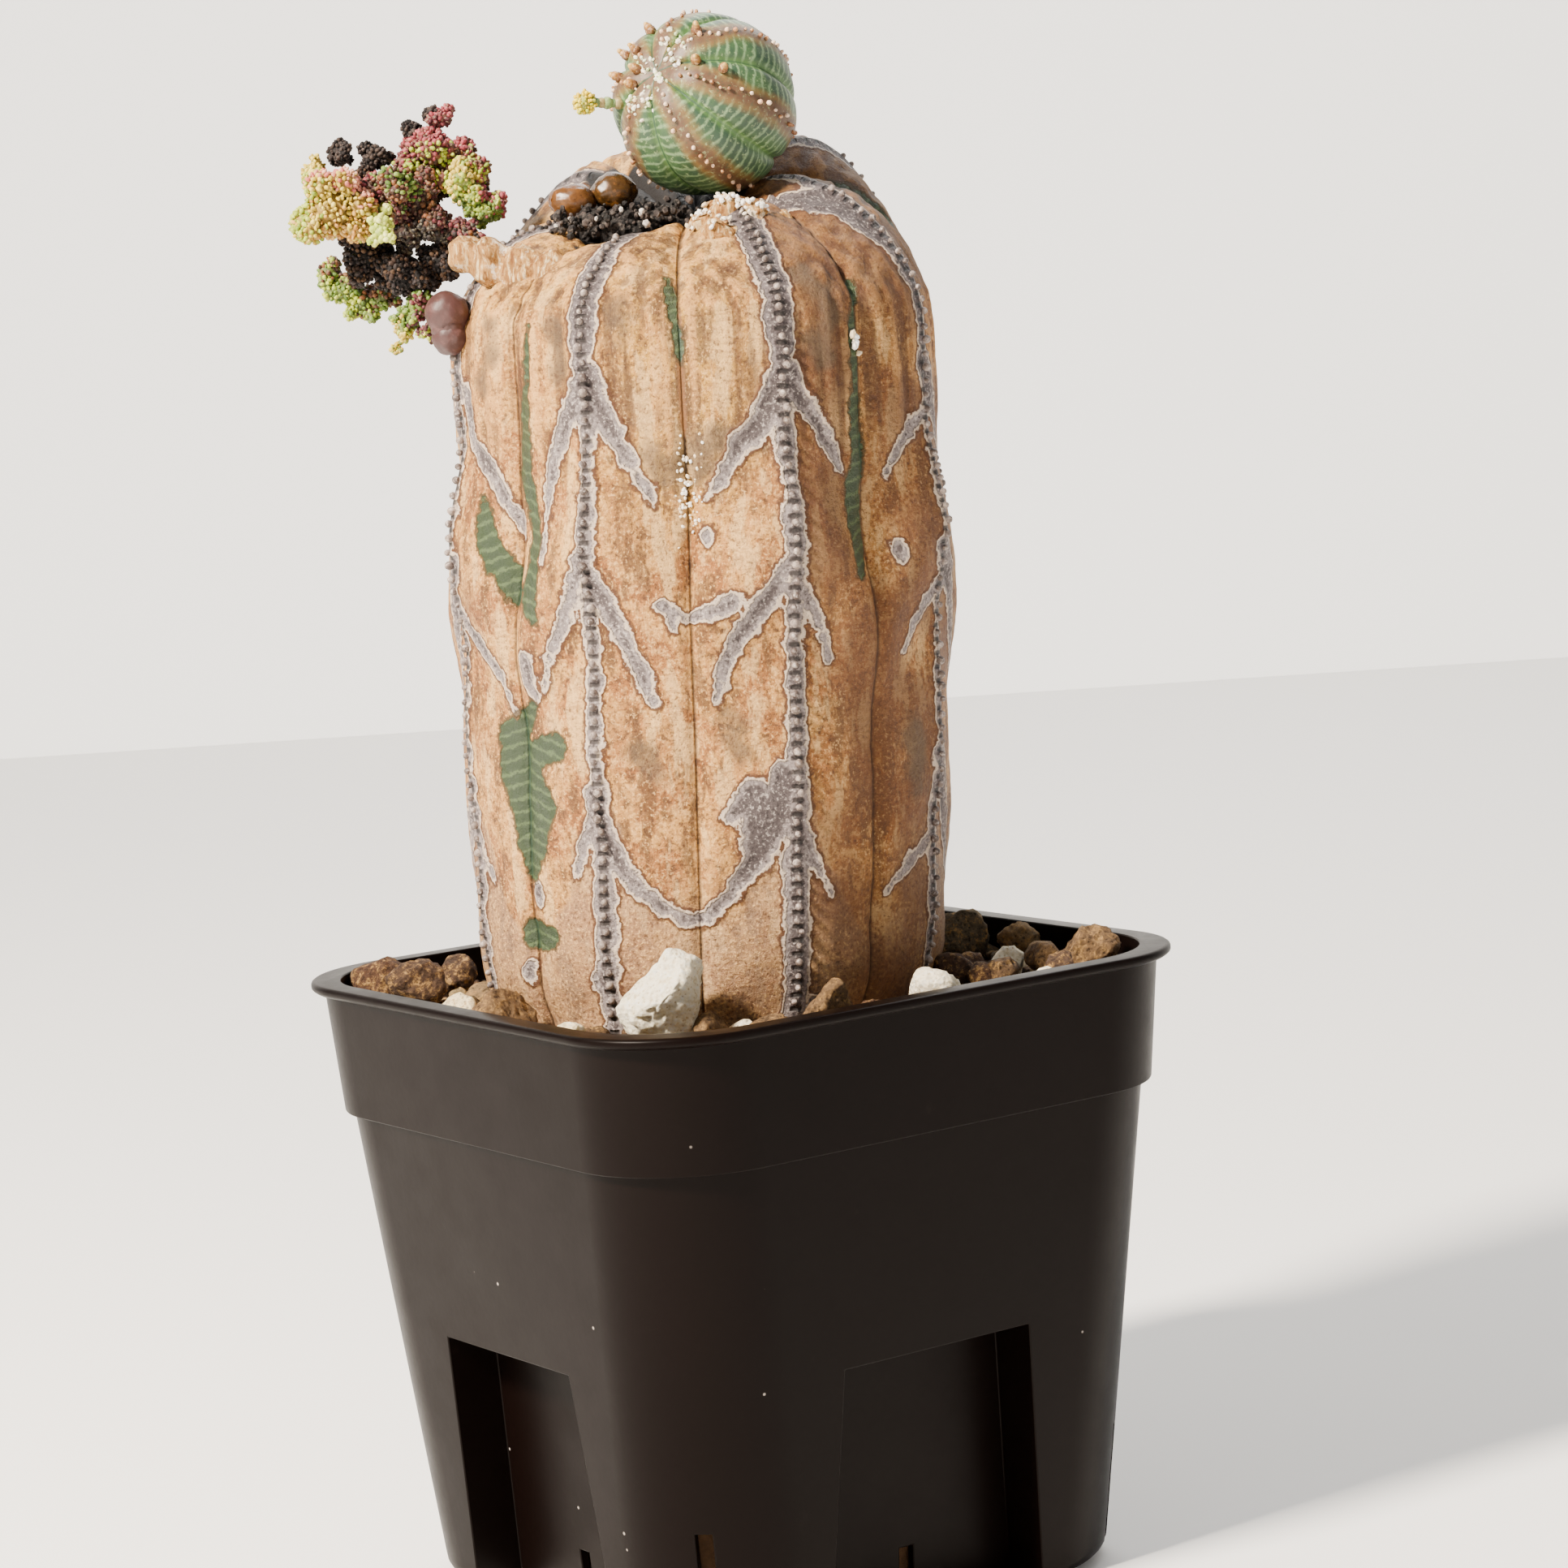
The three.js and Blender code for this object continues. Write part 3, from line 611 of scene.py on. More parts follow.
def rearArms():
    # the same growth on the ribs that face away
    chance = random.Random(41)
    arms = []
    sides = [(65.5, 1), (110.5, -1), (110.5, 1), (155.5, -1), (155.5, 1), (-159.5, -1), (-159.5, 1),
             (-114.5, -1), (-114.5, 1), (-69.5, -1)]
    for crest, side in sides:
        for tier in (158, 134, 107):
            start = tier + chance.uniform(-2, 2)
            reach = chance.uniform(12, 18)
            drop = chance.uniform(13, 18)
            wide = chance.uniform(1.0, 1.7)
            arm = []
            for step in range(5):
                way = step / 4
                arm.append((crest + side * reach * way ** 0.85, start - drop * way, wide * (1 - way) + 0.4))
            arms.append(arm)
    return arms


def strokeField(turns, marks, arc, strokes):
    # distance in mm to the nearest stroke's edge, negative inside it
    field = np.full(len(turns), 40.0)
    for stroke in strokes:
        for (turnA, markA, halfA), (turnB, markB, halfB) in zip(stroke, stroke[1:]):
            fromX, fromY = wrapTurn(turns - turnA) * arc, marks - markA
            alongX, alongY = (turnB - turnA) * arc, markB - markA
            way = np.clip((fromX * alongX + fromY * alongY) / (alongX ** 2 + alongY ** 2 + 1e-9), 0, 1)
            gap = np.hypot(fromX - way * alongX, fromY - way * alongY) - (halfA + (halfB - halfA) * way)
            field = np.minimum(field, gap)
    return field


def crestBand(turns, marks, arc):
    # the grey band that follows each crest, wider near the crown and the foot
    band = np.full(len(turns), 40.0)
    for number, crest in enumerate(ribTurns):
        half = 0.95 + 0.25 * math.sin(number * 2.1) + 0.75 * smoothRange(marks, 156, 166) \
            + 0.5 * smoothRange(-marks, -112, -96) - 1.2 * smoothRange(marks, 188, 196)
        band = np.minimum(band, np.abs(wrapTurn(turns - crest)) * arc - half)
    return band


# how orange and how dark the panels are, by turn: partly the cork's own colour, partly painted shade that darkens the
# right side, turned from the key lamp
panelToneAndShade = [(-180, 0.5), (-137, 0.45), (-115, 0.6), (-92, 0.5), (-69, 0.45), (-47, 0.3), (-25, 0.35), (-2, 0.22),
             (16, 0.32), (24, 0.62), (43, 0.74), (65, 0.7), (88, 0.6), (133, 0.5), (180, 0.5)]


def makeStem(material):
    shape = bmesh.new()
    bmesh.ops.create_uvsphere(shape, u_segments=stem["segments"], v_segments=stem["rings"], radius=1)
    unit = np.array([vert.co[:] for vert in shape.verts])
    turns = np.degrees(np.arctan2(unit[:, 0], -unit[:, 1]))
    ring = np.rint(np.degrees(np.arccos(np.clip(unit[:, 2], -1, 1))) / 180 * stem["rings"])
    bodyRings = stem["rings"] - stem["rootRings"]
    top = stem["shoulder"] + stem["crownSpan"]
    marks = top - (top - stem["foot"]) * np.minimum(ring / bodyRings, 1)

    share = 1 - np.clip((marks - stem["shoulder"]) / stem["crownSpan"], 0, 1) ** 1.47
    arc = np.maximum(31.5 * share, 2) * math.pi / 180
    tube = np.stack([np.sin(np.radians(turns)) * arc * 57.3, -np.cos(np.radians(turns)) * arc * 57.3, marks], 1)
    coarse = rippleAt(tube, 3.2, 1)
    fine = rippleAt(tube, 1.1, 2)
    warp = 0.38 * coarse + 0.2 * fine
    arms = strokeField(turns, marks, arc, scarArms + rearArms()) + warp
    band = crestBand(turns, marks, arc) + warp * 1.3
    grey = np.minimum(arms, band)
    green = strokeField(turns, marks, arc, greenPatches) + 0.8 * warp
    # darker patches from the strokes, shaken by noise
    stain = strokeField(turns, marks, arc, darkPatches) + 2.2 * coarse + 0.8 * fine
    # green shows only where the cork hasn't grown
    green = np.maximum(green, 0.35 - grey)
    crest = np.min([np.abs(wrapTurn(turns - rib)) for rib in ribTurns], axis=0) * arc
    furrow = (22.5 - np.min([np.abs(wrapTurn(turns - rib)) for rib in ribTurns], axis=0)) * arc

    broad = rippleAt(tube, 9, 3)
    pleats = rippleAt(np.stack([tube[:, 0] / 1.5, tube[:, 1] / 1.5, marks / 34], 1), 1, 4)
    upper = smoothRange(marks, 138, 160)
    relief = 0.3 * broad + 0.12 * coarse + 0.05 * fine
    relief += pleats * (0.1 + 0.5 * upper) * (1 - np.exp(-(crest / 2.5) ** 2))
    relief += 0.35 * np.exp(-(crest / 0.9) ** 2) - 0.45 * np.exp(-(furrow / 0.55) ** 2)
    relief += 0.1 * smoothRange(-arms, -0.5, 0.1) - 0.28 * smoothRange(-arms, 0.2, 0.9)
    relief -= 0.12 * smoothRange(-green, -0.1, 0.3)
    # the raised welt down the front furrow, where the skin split and healed
    welt = np.exp(-(wrapTurn(turns + 2.4) * arc / 0.5) ** 2) * smoothRange(marks, 148, 153) \
        * (1 - smoothRange(marks, 163, 170))
    relief += 0.85 * welt

    places = stemPlaces(turns, marks, relief)
    # taproot, hidden in the bed
    root = np.clip((ring - bodyRings) / stem["rootRings"], 0, 1)
    inRoot = ring > bodyRings
    shares, depths = zip(*stem["root"])
    width = np.interp(-root, [-d for d in depths], shares)
    width = np.where(root < 0.1, 1 - root, width)
    places[:, 0] = np.where(inRoot, (places[:, 0] - stem["lean"]) * width + stem["lean"], places[:, 0])
    places[:, 1] = np.where(inRoot, places[:, 1] * width, places[:, 1])
    places[:, 2] = np.where(inRoot, stem["foot"] - 45 * root, places[:, 2])
    for vert, place in zip(shape.verts, places.tolist()):
        vert.co = place

    toneAndShade = np.interp(turns, *zip(*panelToneAndShade)) + 0.35 * broad
    # painted shade: the right side of the crown is made darker
    toneAndShade += 0.5 * smoothRange(marks, 163, 178) * smoothRange(places[:, 0], 2, 16)
    ochre = smoothRange(marks, 132, 150) * np.exp(-(wrapTurn(turns + 3) / 19) ** 2)
    ochre = np.maximum(ochre, 0.6 * smoothRange(marks, 160, 172))
    base = 1 - smoothRange(marks, 80, 97) + 0.6 * (1 - smoothRange(marks, 84, 112)) \
        * np.exp(-(wrapTurn(turns - 2) / 26) ** 2)
    rim = 86 + 24 * (1 - ribAway(turns)) ** 1.6 + 2.2 * coarse
    base = np.maximum(base, 1.1 * smoothRange(rim - marks, -0.6, 0.8))
    pit = 1 - smoothRange(np.hypot((places[:, 0] + 7.3) / 1.25, places[:, 1] + 10.0) + 2.2 * coarse, 4.2, 6.4)
    pit = np.maximum(pit, 1 - smoothRange(np.hypot(places[:, 0] + 2, places[:, 1] + 2) + 2 * coarse, 9, 13))
    pit *= smoothRange(marks, stem["shoulder"] + 8, stem["shoulder"] + 12)
    fields = {"grey": grey, "green": green, "crest": crest, "furrow": furrow, "mark": marks, "toneAndShade": toneAndShade,
              "ochre": ochre, "base": base, "pit": pit, "welt": welt, "pleat": pleats * upper, "darkPatch": stain}
    finishPiece("euphorbia_stem", shape, [material], ["stem"], fields=fields)


def corkedSkin():
    # old euphorbia skin gone to cork: matt tan panels with fine mottling, lavender-grey scar tissue
    # with cream edges and brown outlines, and waxy green windows where the living skin still shows
    material, tree, shader = startMaterial("corkedEuphorbiaSkin", {"IOR": 1.45})
    place = addNode(tree, "ShaderNodeTexCoord").outputs["Object"]
    field = {name: addNode(tree, "ShaderNodeAttribute", {"attribute_name": name}).outputs["Fac"]
             for name in ("grey", "green", "crest", "furrow", "mark", "toneAndShade", "ochre", "base", "pit", "welt", "pleat", "darkPatch")}
    drawn = addNode(tree, "ShaderNodeMapping", None, {"Vector": place, "Scale": (1, 1, 0.28)}).outputs[0]
    flat = addNode(tree, "ShaderNodeMapping", None, {"Vector": place, "Scale": (0.3, 0.3, 1)}).outputs[0]
    texture = {}
    for name, vector, size, detail, rough in (
        ("cloud", place, 7.5, 4, 0.6), ("mottle", place, 1.7, 8, 0.74), ("grain", place, 0.45, 5, 0.7),
        ("streak", drawn, 1.3, 6, 0.65), ("stria", flat, 0.55, 3, 0.6), ("blotch", drawn, 3.4, 5, 0.6), ("edge", place, 1.8, 4, 0.6),
    ):
        texture[name] = addNode(tree, "ShaderNodeTexNoise", None, {
            "Vector": vector, "Scale": perMm(size), "Detail": detail, "Roughness": rough}).outputs["Fac"]

    # jagged edges: the distances are shaken by the edge noise
    shaken = {}
    for name in ("grey", "green"):
        shake = addNode(tree, "ShaderNodeMath", {"operation": "MULTIPLY_ADD"},
                        {0: texture["edge"], 1: 2.2, 2: -1.1}).outputs[0]
        shaken[name] = addNode(tree, "ShaderNodeMath", {"operation": "ADD"}, {0: field[name], 1: shake}).outputs[0]

    # masks: source, where it starts, where it is full, and how strong it gets
    wanted = {
        "warm": (texture["cloud"], 0.46, 0.57, 1.0),
        "light": (texture["mottle"], 0.5, 0.62, 0.7),
        "dark": (texture["mottle"], 0.48, 0.38, 0.8),
        "streaks": (texture["streak"], 0.5, 0.6, 0.6),
        "fleck": (texture["grain"], 0.54, 0.64, 0.65),
        "speck": (texture["grain"], 0.46, 0.37, 0.7),
        "stria": (texture["stria"], 0.52, 0.62, 0.35),
        "crease": (field["furrow"], 0.4, 0.1, 0.85),
        "outline": (shaken["grey"], 0.78, 0.38, 0.95),
        "cream": (shaken["grey"], 0.28, 0.14, 0.95),
        "greyCork": (shaken["grey"], -0.02, -0.28, 1.0),
        "darkCork": (shaken["grey"], -0.45, -1.1, 0.85),
        "greenEdge": (shaken["green"], 0.5, 0.2, 0.9),
        "greenSkin": (shaken["green"], 0.1, -0.12, 1.0),
        "greenHeart": (shaken["green"], -0.5, -1.0, 0.5),
        "rib": (field["furrow"], 0.32, 0.14, 0.7),
        "crestLine": (field["crest"], 0.95, 0.45, 0.85),
        "toneAndShade": (field["toneAndShade"], 0.2, 0.9, 1.0),
        "ochre": (field["ochre"], 0.1, 0.9, 0.85),
        "base": (field["base"], 0.1, 1.2, 0.6),
        "pit": (field["pit"], 0.25, 0.6, 1.0),
        "welt": (field["welt"], 0.25, 0.7, 0.9),
        "stain": (texture["cloud"], 0.5, 0.6, 0.8),
        "blotch": (texture["blotch"], 0.53, 0.6, 0.75),
        "pale": (texture["blotch"], 0.47, 0.4, 0.6),
        "darkPatch": (field["darkPatch"], 1.4, -1.2, 0.75),
        # a deeper brown where the panels are darkest: partly the cork's own colour, partly painted shade
        "umberAndShade": (field["toneAndShade"], 0.45, 0.8, 0.75),
        # painted shade in the hollows of the pleats and a painted highlight on their ridges
        "pleatShade": (field["pleat"], -0.1, -0.32, 0.6),
        "pleatHighlight": (field["pleat"], 0.08, 0.34, 0.5),
        "high": (field["mark"], 150, 164, 0.8),
    }
    mask = {}
    for name, (source, low, high, most) in wanted.items():
        mask[name] = addNode(tree, "ShaderNodeMapRange", {"interpolation_type": "SMOOTHSTEP"},
                             {"Value": source, "From Min": low, "From Max": high, "To Max": most}).outputs[0]

    # the gaps between the beads on each crest, painted nearly black as shade between them, and the pale bands across
    # the green windows
    gap = addNode(tree, "ShaderNodeMath", {"operation": "PINGPONG"}, {0: field["mark"], 1: beads["pitch"] / 2})
    gap = addNode(tree, "ShaderNodeMapRange", {"interpolation_type": "SMOOTHSTEP"},
                  {"Value": gap.outputs[0], "From Min": 0.42, "From Max": 0.12}).outputs[0]
    bandShift = addNode(tree, "ShaderNodeMath", {"operation": "MULTIPLY_ADD"},
                        {0: field["furrow"], 1: 0.28, 2: field["mark"]}).outputs[0]
    bandShift = addNode(tree, "ShaderNodeMath", {"operation": "MULTIPLY_ADD"},
                        {0: texture["mottle"], 1: 2.4, 2: bandShift}).outputs[0]
    bands = addNode(tree, "ShaderNodeMath", {"operation": "PINGPONG"}, {0: bandShift, 1: 0.85})
    bands = addNode(tree, "ShaderNodeMapRange", {"interpolation_type": "SMOOTHSTEP"},
                    {"Value": bands.outputs[0], "From Min": 0.5, "From Max": 0.8, "To Max": 0.5}).outputs[0]
    joined = {}
    for name, first, second in (("gap", gap, mask["crestLine"]), ("bands", bands, mask["greenSkin"]),
                                ("heart", mask["greenHeart"], mask["greenSkin"]), ("midline", mask["rib"], mask["greenSkin"]),
                                ("stain", mask["stain"], mask["ochre"]), ("highGrey", mask["high"], mask["greyCork"]), ("speckGrey", mask["speck"], mask["greyCork"]),
                                ("fleckGrey", mask["fleck"], mask["greyCork"])):
        joined[name] = addNode(tree, "ShaderNodeMath", {"operation": "MULTIPLY"}, {0: first, 1: second}).outputs[0]

    colour = addNode(tree, "ShaderNodeMix", {"data_type": "RGBA"},
                     {0: mask["toneAndShade"], 6: toLinear("#bf8b45"), 7: toLinear("#80501d")}).outputs[2]
    for layer, code in (
        (mask["warm"], "#935b24"), (mask["ochre"], "#b98a34"), (mask["light"], "#d9a866"), (mask["streaks"], "#ab7236"),
        (mask["dark"], "#4c2b10"), (joined["stain"], "#665033"), (mask["blotch"], "#573716"),
        (mask["pale"], "#dcb478"), (mask["base"], "#95785c"), (mask["stria"], "#6e4019"),
        # the pleat ridges get a painted highlight and the pleat hollows a painted shade
        (mask["fleck"], "#e6b878"), (mask["pleatHighlight"], "#d9a05a"), (mask["umberAndShade"], "#5c3413"),
        (mask["pleatShade"], "#43240f"), (mask["darkPatch"], "#574631"), (mask["speck"], "#452409"), (mask["crease"], "#2f1a0b"), (mask["welt"], "#7a4e22"),
        (mask["outline"], "#4f2b0e"), (mask["cream"], "#cdb9a4"), (mask["greyCork"], "#877b79"),
        (joined["highGrey"], "#5f5557"), (mask["darkCork"], "#443a3b"), (joined["speckGrey"], "#1e1818"), (joined["fleckGrey"], "#cdc1ba"),
        (mask["greenEdge"], "#43320f"), (mask["greenSkin"], "#2c3b20"), (joined["heart"], "#293826"),
        # near-black painted shade in the gaps between the crest beads
        (joined["bands"], "#5f7249"), (joined["midline"], "#233f30"), (joined["gap"], "#191312"),
        (mask["pit"], "#0f0b0b"),
    ):
        colour = addNode(tree, "ShaderNodeMix", {"data_type": "RGBA"}, {0: layer, 6: colour, 7: toLinear(code)}).outputs[2]
    tree.links.new(colour, shader.inputs["Base Color"])

    rough = addNode(tree, "ShaderNodeMapRange", None,
                    {"Value": mask["greenSkin"], "To Min": 0.6, "To Max": 0.42}).outputs[0]
    tree.links.new(rough, shader.inputs["Roughness"])
    height = texture["mottle"]
    for source, factor in ((texture["grain"], 0.5), (mask["outline"], 0.35), (mask["greyCork"], -0.7),
                           (joined["gap"], -1.2), (texture["streak"], 0.5), (mask["greenSkin"], -0.3),
                           (mask["crease"], -0.8), (texture["stria"], 0.3)):
        height = addNode(tree, "ShaderNodeMath", {"operation": "MULTIPLY_ADD"}, {0: source, 1: factor, 2: height}).outputs[0]
    bump = addNode(tree, "ShaderNodeBump", None, {"Height": height, "Strength": 0.95, "Distance": 0.0005})
    tree.links.new(bump.outputs[0], shader.inputs["Normal"])
    return material


beads = {"pitch": 1.75, "size": 0.56, "first": bedLevel + 2, "last": stem["shoulder"] + 22}

skin = corkedSkin()
makeStem(skin)
print("stem is made")


def tintedMatter(name, rough, spread, speck, grainSize, bumpSize, gloss=0.5):
    # a material whose colour is painted on the piece, broken up by a finer grain
    material, tree, shader = startMaterial(name, {"Roughness": rough, "Specular IOR Level": gloss})
    place = addNode(tree, "ShaderNodeTexCoord").outputs["Object"]
    tint = addNode(tree, "ShaderNodeAttribute", {"attribute_name": "tint"}).outputs["Color"]
    grain = addNode(tree, "ShaderNodeTexNoise", None,
                    {"Vector": place, "Scale": perMm(grainSize), "Detail": 7, "Roughness": 0.72}).outputs["Fac"]
    light = addNode(tree, "ShaderNodeMapRange", {"interpolation_type": "SMOOTHSTEP"},
                    {"Value": grain, "From Min": 0.5, "From Max": 0.64, "To Max": spread}).outputs[0]
    dark = addNode(tree, "ShaderNodeMapRange", {"interpolation_type": "SMOOTHSTEP"},
                   {"Value": grain, "From Min": 0.48, "From Max": 0.35, "To Max": spread}).outputs[0]
    colour = tint
    for layer, code in ((light, speck[0]), (dark, speck[1])):
        colour = addNode(tree, "ShaderNodeMix", {"data_type": "RGBA"}, {0: layer, 6: colour, 7: toLinear(code)}).outputs[2]
    tree.links.new(colour, shader.inputs["Base Color"])
    bump = addNode(tree, "ShaderNodeBump", None, {"Height": grain, "Strength": 0.8, "Distance": bumpSize * mm})
    tree.links.new(bump.outputs[0], shader.inputs["Normal"])
    return material


# ---- beads along the crests ----

def makeBeads():
    # old flower eyes along the crests: hard little grey-brown beads
    material = tintedMatter("corkedBead", 0.5, 0.7, ("#c9bdb6", "#3a302d"), 0.5, 0.1)
    template = beadTemplate(columns=8, rows=5)
    chance = random.Random(7)
    shape = bmesh.new()
    tints = []
    for number, crest in enumerate(ribTurns):
        mark = beads["pitch"] * math.ceil(beads["first"] / beads["pitch"]) + beads["pitch"] / 2
        while mark < beads["last"] - 4 * chance.random():
            size = beads["size"] * chance.uniform(0.72, 1.15) * (0.85 if mark > stem["shoulder"] else 1)
            turn = crest + chance.gauss(0, 0.35)
            place = stemPoint(turn, mark + chance.uniform(-0.2, 0.2), 0.5)
            scatterCopies(shape, template, [beadMatrix(place, stemOut(crest, mark), size * 0.92, size)])
            code = chance.choice(["#6d5f59", "#7d6f68", "#564944", "#8a7b72", "#65574f"])
            tints += [toLinear(code)] * len(template.vertices)
            mark += beads["pitch"]
    finishPiece("crest_beads", shape, [material], tints=tints)


# the lumps of the torn front knob: side, depth, height, radius
knobBalls = [(5.2, -17.0, 177.0, 4.0), (2.4, -18.4, 175.4, 3.2), (7.6, -17.8, 175.6, 3.0), (5.4, -18, 177.2, 3.2),
             (8.6, -18.6, 176.6, 3.0), (4.4, -21.5, 174.4, 3.6), (4.6, -19.6, 173.6, 2.6), (6.6, -22.5, 171.8, 3.0),
             (1.8, -21.5, 172.2, 2.8)]


def makePaleCrumbs():
    # dried sap: white crumbs on the torn front knob, down the front furrow and on the green strip
    crust = tintedMatter("whiteSapCrust", 0.6, 0.35, ("#ffffff", "#a89a86"), 0.4, 0.06)
    template = beadTemplate(subdivisions=1)
    chance = random.Random(61)
    shape = bmesh.new()
    tints = []
    spots = []
    for _ in range(90):
        # on the upper front of the knob's own lumps
        x, y, z, radius = chance.choice(knobBalls[:6])
        way = Vector((chance.gauss(0, 0.6), -abs(chance.gauss(0.4, 0.4)), abs(chance.gauss(0.8, 0.4)))).normalized()
        spots.append((Vector((x, y, z)) + way * radius * 0.72, 0.36))
    for _ in range(70):
        spots.append((stemPoint(chance.gauss(-2, 1.7), chance.gauss(144.5, 3.2), 0.05), 0.26))
    for _ in range(14):
        spots.append((stemPoint(chance.gauss(41, 0.7), chance.gauss(160, 0.6), 0.4), 0.45))
    for place, most in spots:
        size = chance.uniform(0.35, 1) * most
        way = [chance.gauss(0, 1) for _ in range(3)]
        scatterCopies(shape, template, [beadMatrix(place, way, size, size * 1.5)])
        tints += [toLinear(chance.choice(["#f6f0e4", "#e8dcc4", "#ffffff", "#d6c09a"]))] * len(template.vertices)
    finishPiece("white_sap_crumbs", shape, [crust], tints=tints, smooth=False)


makeBeads()
makePaleCrumbs()
print("beads are made")


# ---- green plant on the crown ----

offset = {
    "centre": Vector((3.5, -6.0, 191.25)), "radius": 11.75, "pole": Vector((-0.55, -0.74, 0.39)).normalized(),
    "crests": [-213, -150, -99, -48, 2, 50, 98], "segments": 224, "rings": 150, "neck": 3.2,
}
polarUp = offset["pole"].cross(Vector((0, 0, 1))).cross(offset["pole"]).normalized()
polarSide = offset["pole"].cross(polarUp)


def offsetWays(azimuths):
    # how far towards the furrow, and the widths in degrees to crest and furrow
    crests = np.array(offset["crests"] + [offset["crests"][0] + 360])
    turn = (azimuths - crests[0]) % 360 + crests[0]
    index = np.clip(np.searchsorted(crests, turn, side="right") - 1, 0, len(crests) - 2)
    low, high = crests[index], crests[index + 1]
    half = (high - low) / 2
    toCrest = np.minimum(turn - low, high - turn)
    return toCrest / half, toCrest, half - toCrest


def offsetPlaces(polars, azimuths, lift=0.0):
    away, toCrest, toFurrow = offsetWays(azimuths)
    spread = smoothRange(polars, 4, 30)
    ribbed = 1 - spread * (0.045 * away ** 1.5 + 0.045 * np.exp(-((1 - away) / 0.13) ** 2))
    sunk = 1 - 0.11 * np.exp(-(polars / 20) ** 2)
    radius = offset["radius"] * ribbed * sunk + lift
    polar, azimuth = np.radians(polars), np.radians(azimuths)
    direction = (np.outer(np.cos(polar), offset["pole"]) + np.outer(np.sin(polar) * np.cos(azimuth), polarUp)
                 + np.outer(np.sin(polar) * np.sin(azimuth), polarSide))
    return direction * radius[:, None] + np.array(offset["centre"])


def offsetPoint(polar, azimuth, lift=0.0):
    return Vector(offsetPlaces(np.array([float(polar)]), np.array([float(azimuth)]), lift)[0])


def waxySkin():
    # living euphorbia skin: waxy green with pale bands fanning from the furrows,
    # purple-brown and ochre along the crests
    material, tree, shader = startMaterial("waxyEuphorbiaSkin", {
        "Roughness": 0.46, "IOR": 1.45, "Subsurface Weight": 0.12, "Subsurface Scale": 0.002,
        "Subsurface Radius": (0.5, 1.0, 0.35)})
    place = addNode(tree, "ShaderNodeTexCoord").outputs["Object"]
    field = {name: addNode(tree, "ShaderNodeAttribute", {"attribute_name": name}).outputs["Fac"]
             for name in ("crestGap", "furrowGap", "meridian")}
    cloud = addNode(tree, "ShaderNodeTexNoise", None,
                    {"Vector": place, "Scale": perMm(4), "Detail": 5, "Roughness": 0.6}).outputs["Fac"]
    grain = addNode(tree, "ShaderNodeTexNoise", None,
                    {"Vector": place, "Scale": perMm(0.6), "Detail": 6, "Roughness": 0.7}).outputs["Fac"]
    lean = addNode(tree, "ShaderNodeMath", {"operation": "MULTIPLY_ADD"},
                   {0: field["furrowGap"], 1: -0.12, 2: field["meridian"]}).outputs[0]
    for source, factor in ((cloud, 2.6), (grain, 0.5)):
        lean = addNode(tree, "ShaderNodeMath", {"operation": "MULTIPLY_ADD"}, {0: source, 1: factor, 2: lean}).outputs[0]
    stripes = addNode(tree, "ShaderNodeMath", {"operation": "PINGPONG"}, {0: lean, 1: 0.62}).outputs[0]
    crestEdge = addNode(tree, "ShaderNodeMath", {"operation": "MULTIPLY_ADD"},
                        {0: cloud, 1: 2.4, 2: field["crestGap"]}).outputs[0]
    wanted = {
        "stripe": (stripes, 0.3, 0.6, 0.6), "cloud": (cloud, 0.4, 0.6, 1.0), "ochre": (crestEdge, 3.5, 2.3, 0.75),
        "purple": (crestEdge, 2.7, 1.7, 0.7), "line": (field["furrowGap"], 0.2, 0.07, 0.85),
        "glow": (field["furrowGap"], 0.75, 0.2, 0.5), "fleck": (grain, 0.56, 0.66, 0.45), "dark": (grain, 0.46, 0.36, 0.5),
    }
    mask = {}
    for name, (source, low, high, most) in wanted.items():
        mask[name] = addNode(tree, "ShaderNodeMapRange", {"interpolation_type": "SMOOTHSTEP"},
                             {"Value": source, "From Min": low, "From Max": high, "To Max": most}).outputs[0]
    colour = addNode(tree, "ShaderNodeMix", {"data_type": "RGBA"},
                     {0: mask["cloud"], 6: toLinear("#2d4633"), 7: toLinear("#3c5936")}).outputs[2]
    for layer, code in ((mask["stripe"], "#86a276"), (mask["glow"], "#587f3c"), (mask["ochre"], "#7a5a2b"),
                        (mask["purple"], "#4d2f2a"), (mask["fleck"], "#a9bd88"), (mask["dark"], "#274230"),
                        (mask["line"], "#24402f")):
        colour = addNode(tree, "ShaderNodeMix", {"data_type": "RGBA"}, {0: layer, 6: colour, 7: toLinear(code)}).outputs[2]
    tree.links.new(colour, shader.inputs["Base Color"])
    bump = addNode(tree, "ShaderNodeBump", None, {"Height": grain, "Strength": 0.35, "Distance": 0.0001})
    tree.links.new(bump.outputs[0], shader.inputs["Normal"])
    return material


def makeOffset():
    shape = bmesh.new()
    bmesh.ops.create_uvsphere(shape, u_segments=offset["segments"], v_segments=offset["rings"], radius=1)
    unit = np.array([vert.co[:] for vert in shape.verts])
    azimuths = np.degrees(np.arctan2(unit[:, 1], unit[:, 0]))
    polars = np.degrees(np.arccos(np.clip(unit[:, 2], -1, 1)))
    away, toCrest, toFurrow = offsetWays(azimuths)
    ringScale = np.sin(np.radians(polars)) * offset["radius"] * math.pi / 180
    lift = 0.12 * rippleAt(unit, 0.22, 8) + 0.25 * rippleAt(unit, 0.8, 9)
    places = offsetPlaces(polars, azimuths, lift)
    for vert, place in zip(shape.verts, places.tolist()):
        vert.co = place
    bmesh.ops.recalc_face_normals(shape, faces=shape.faces)
    fields = {"crestGap": toCrest * ringScale, "furrowGap": toFurrow * ringScale,
              "meridian": polars * offset["radius"] * math.pi / 180}
    finishPiece("green_offset_body", shape, [waxySkin()], ["green_offset"], fields=fields)


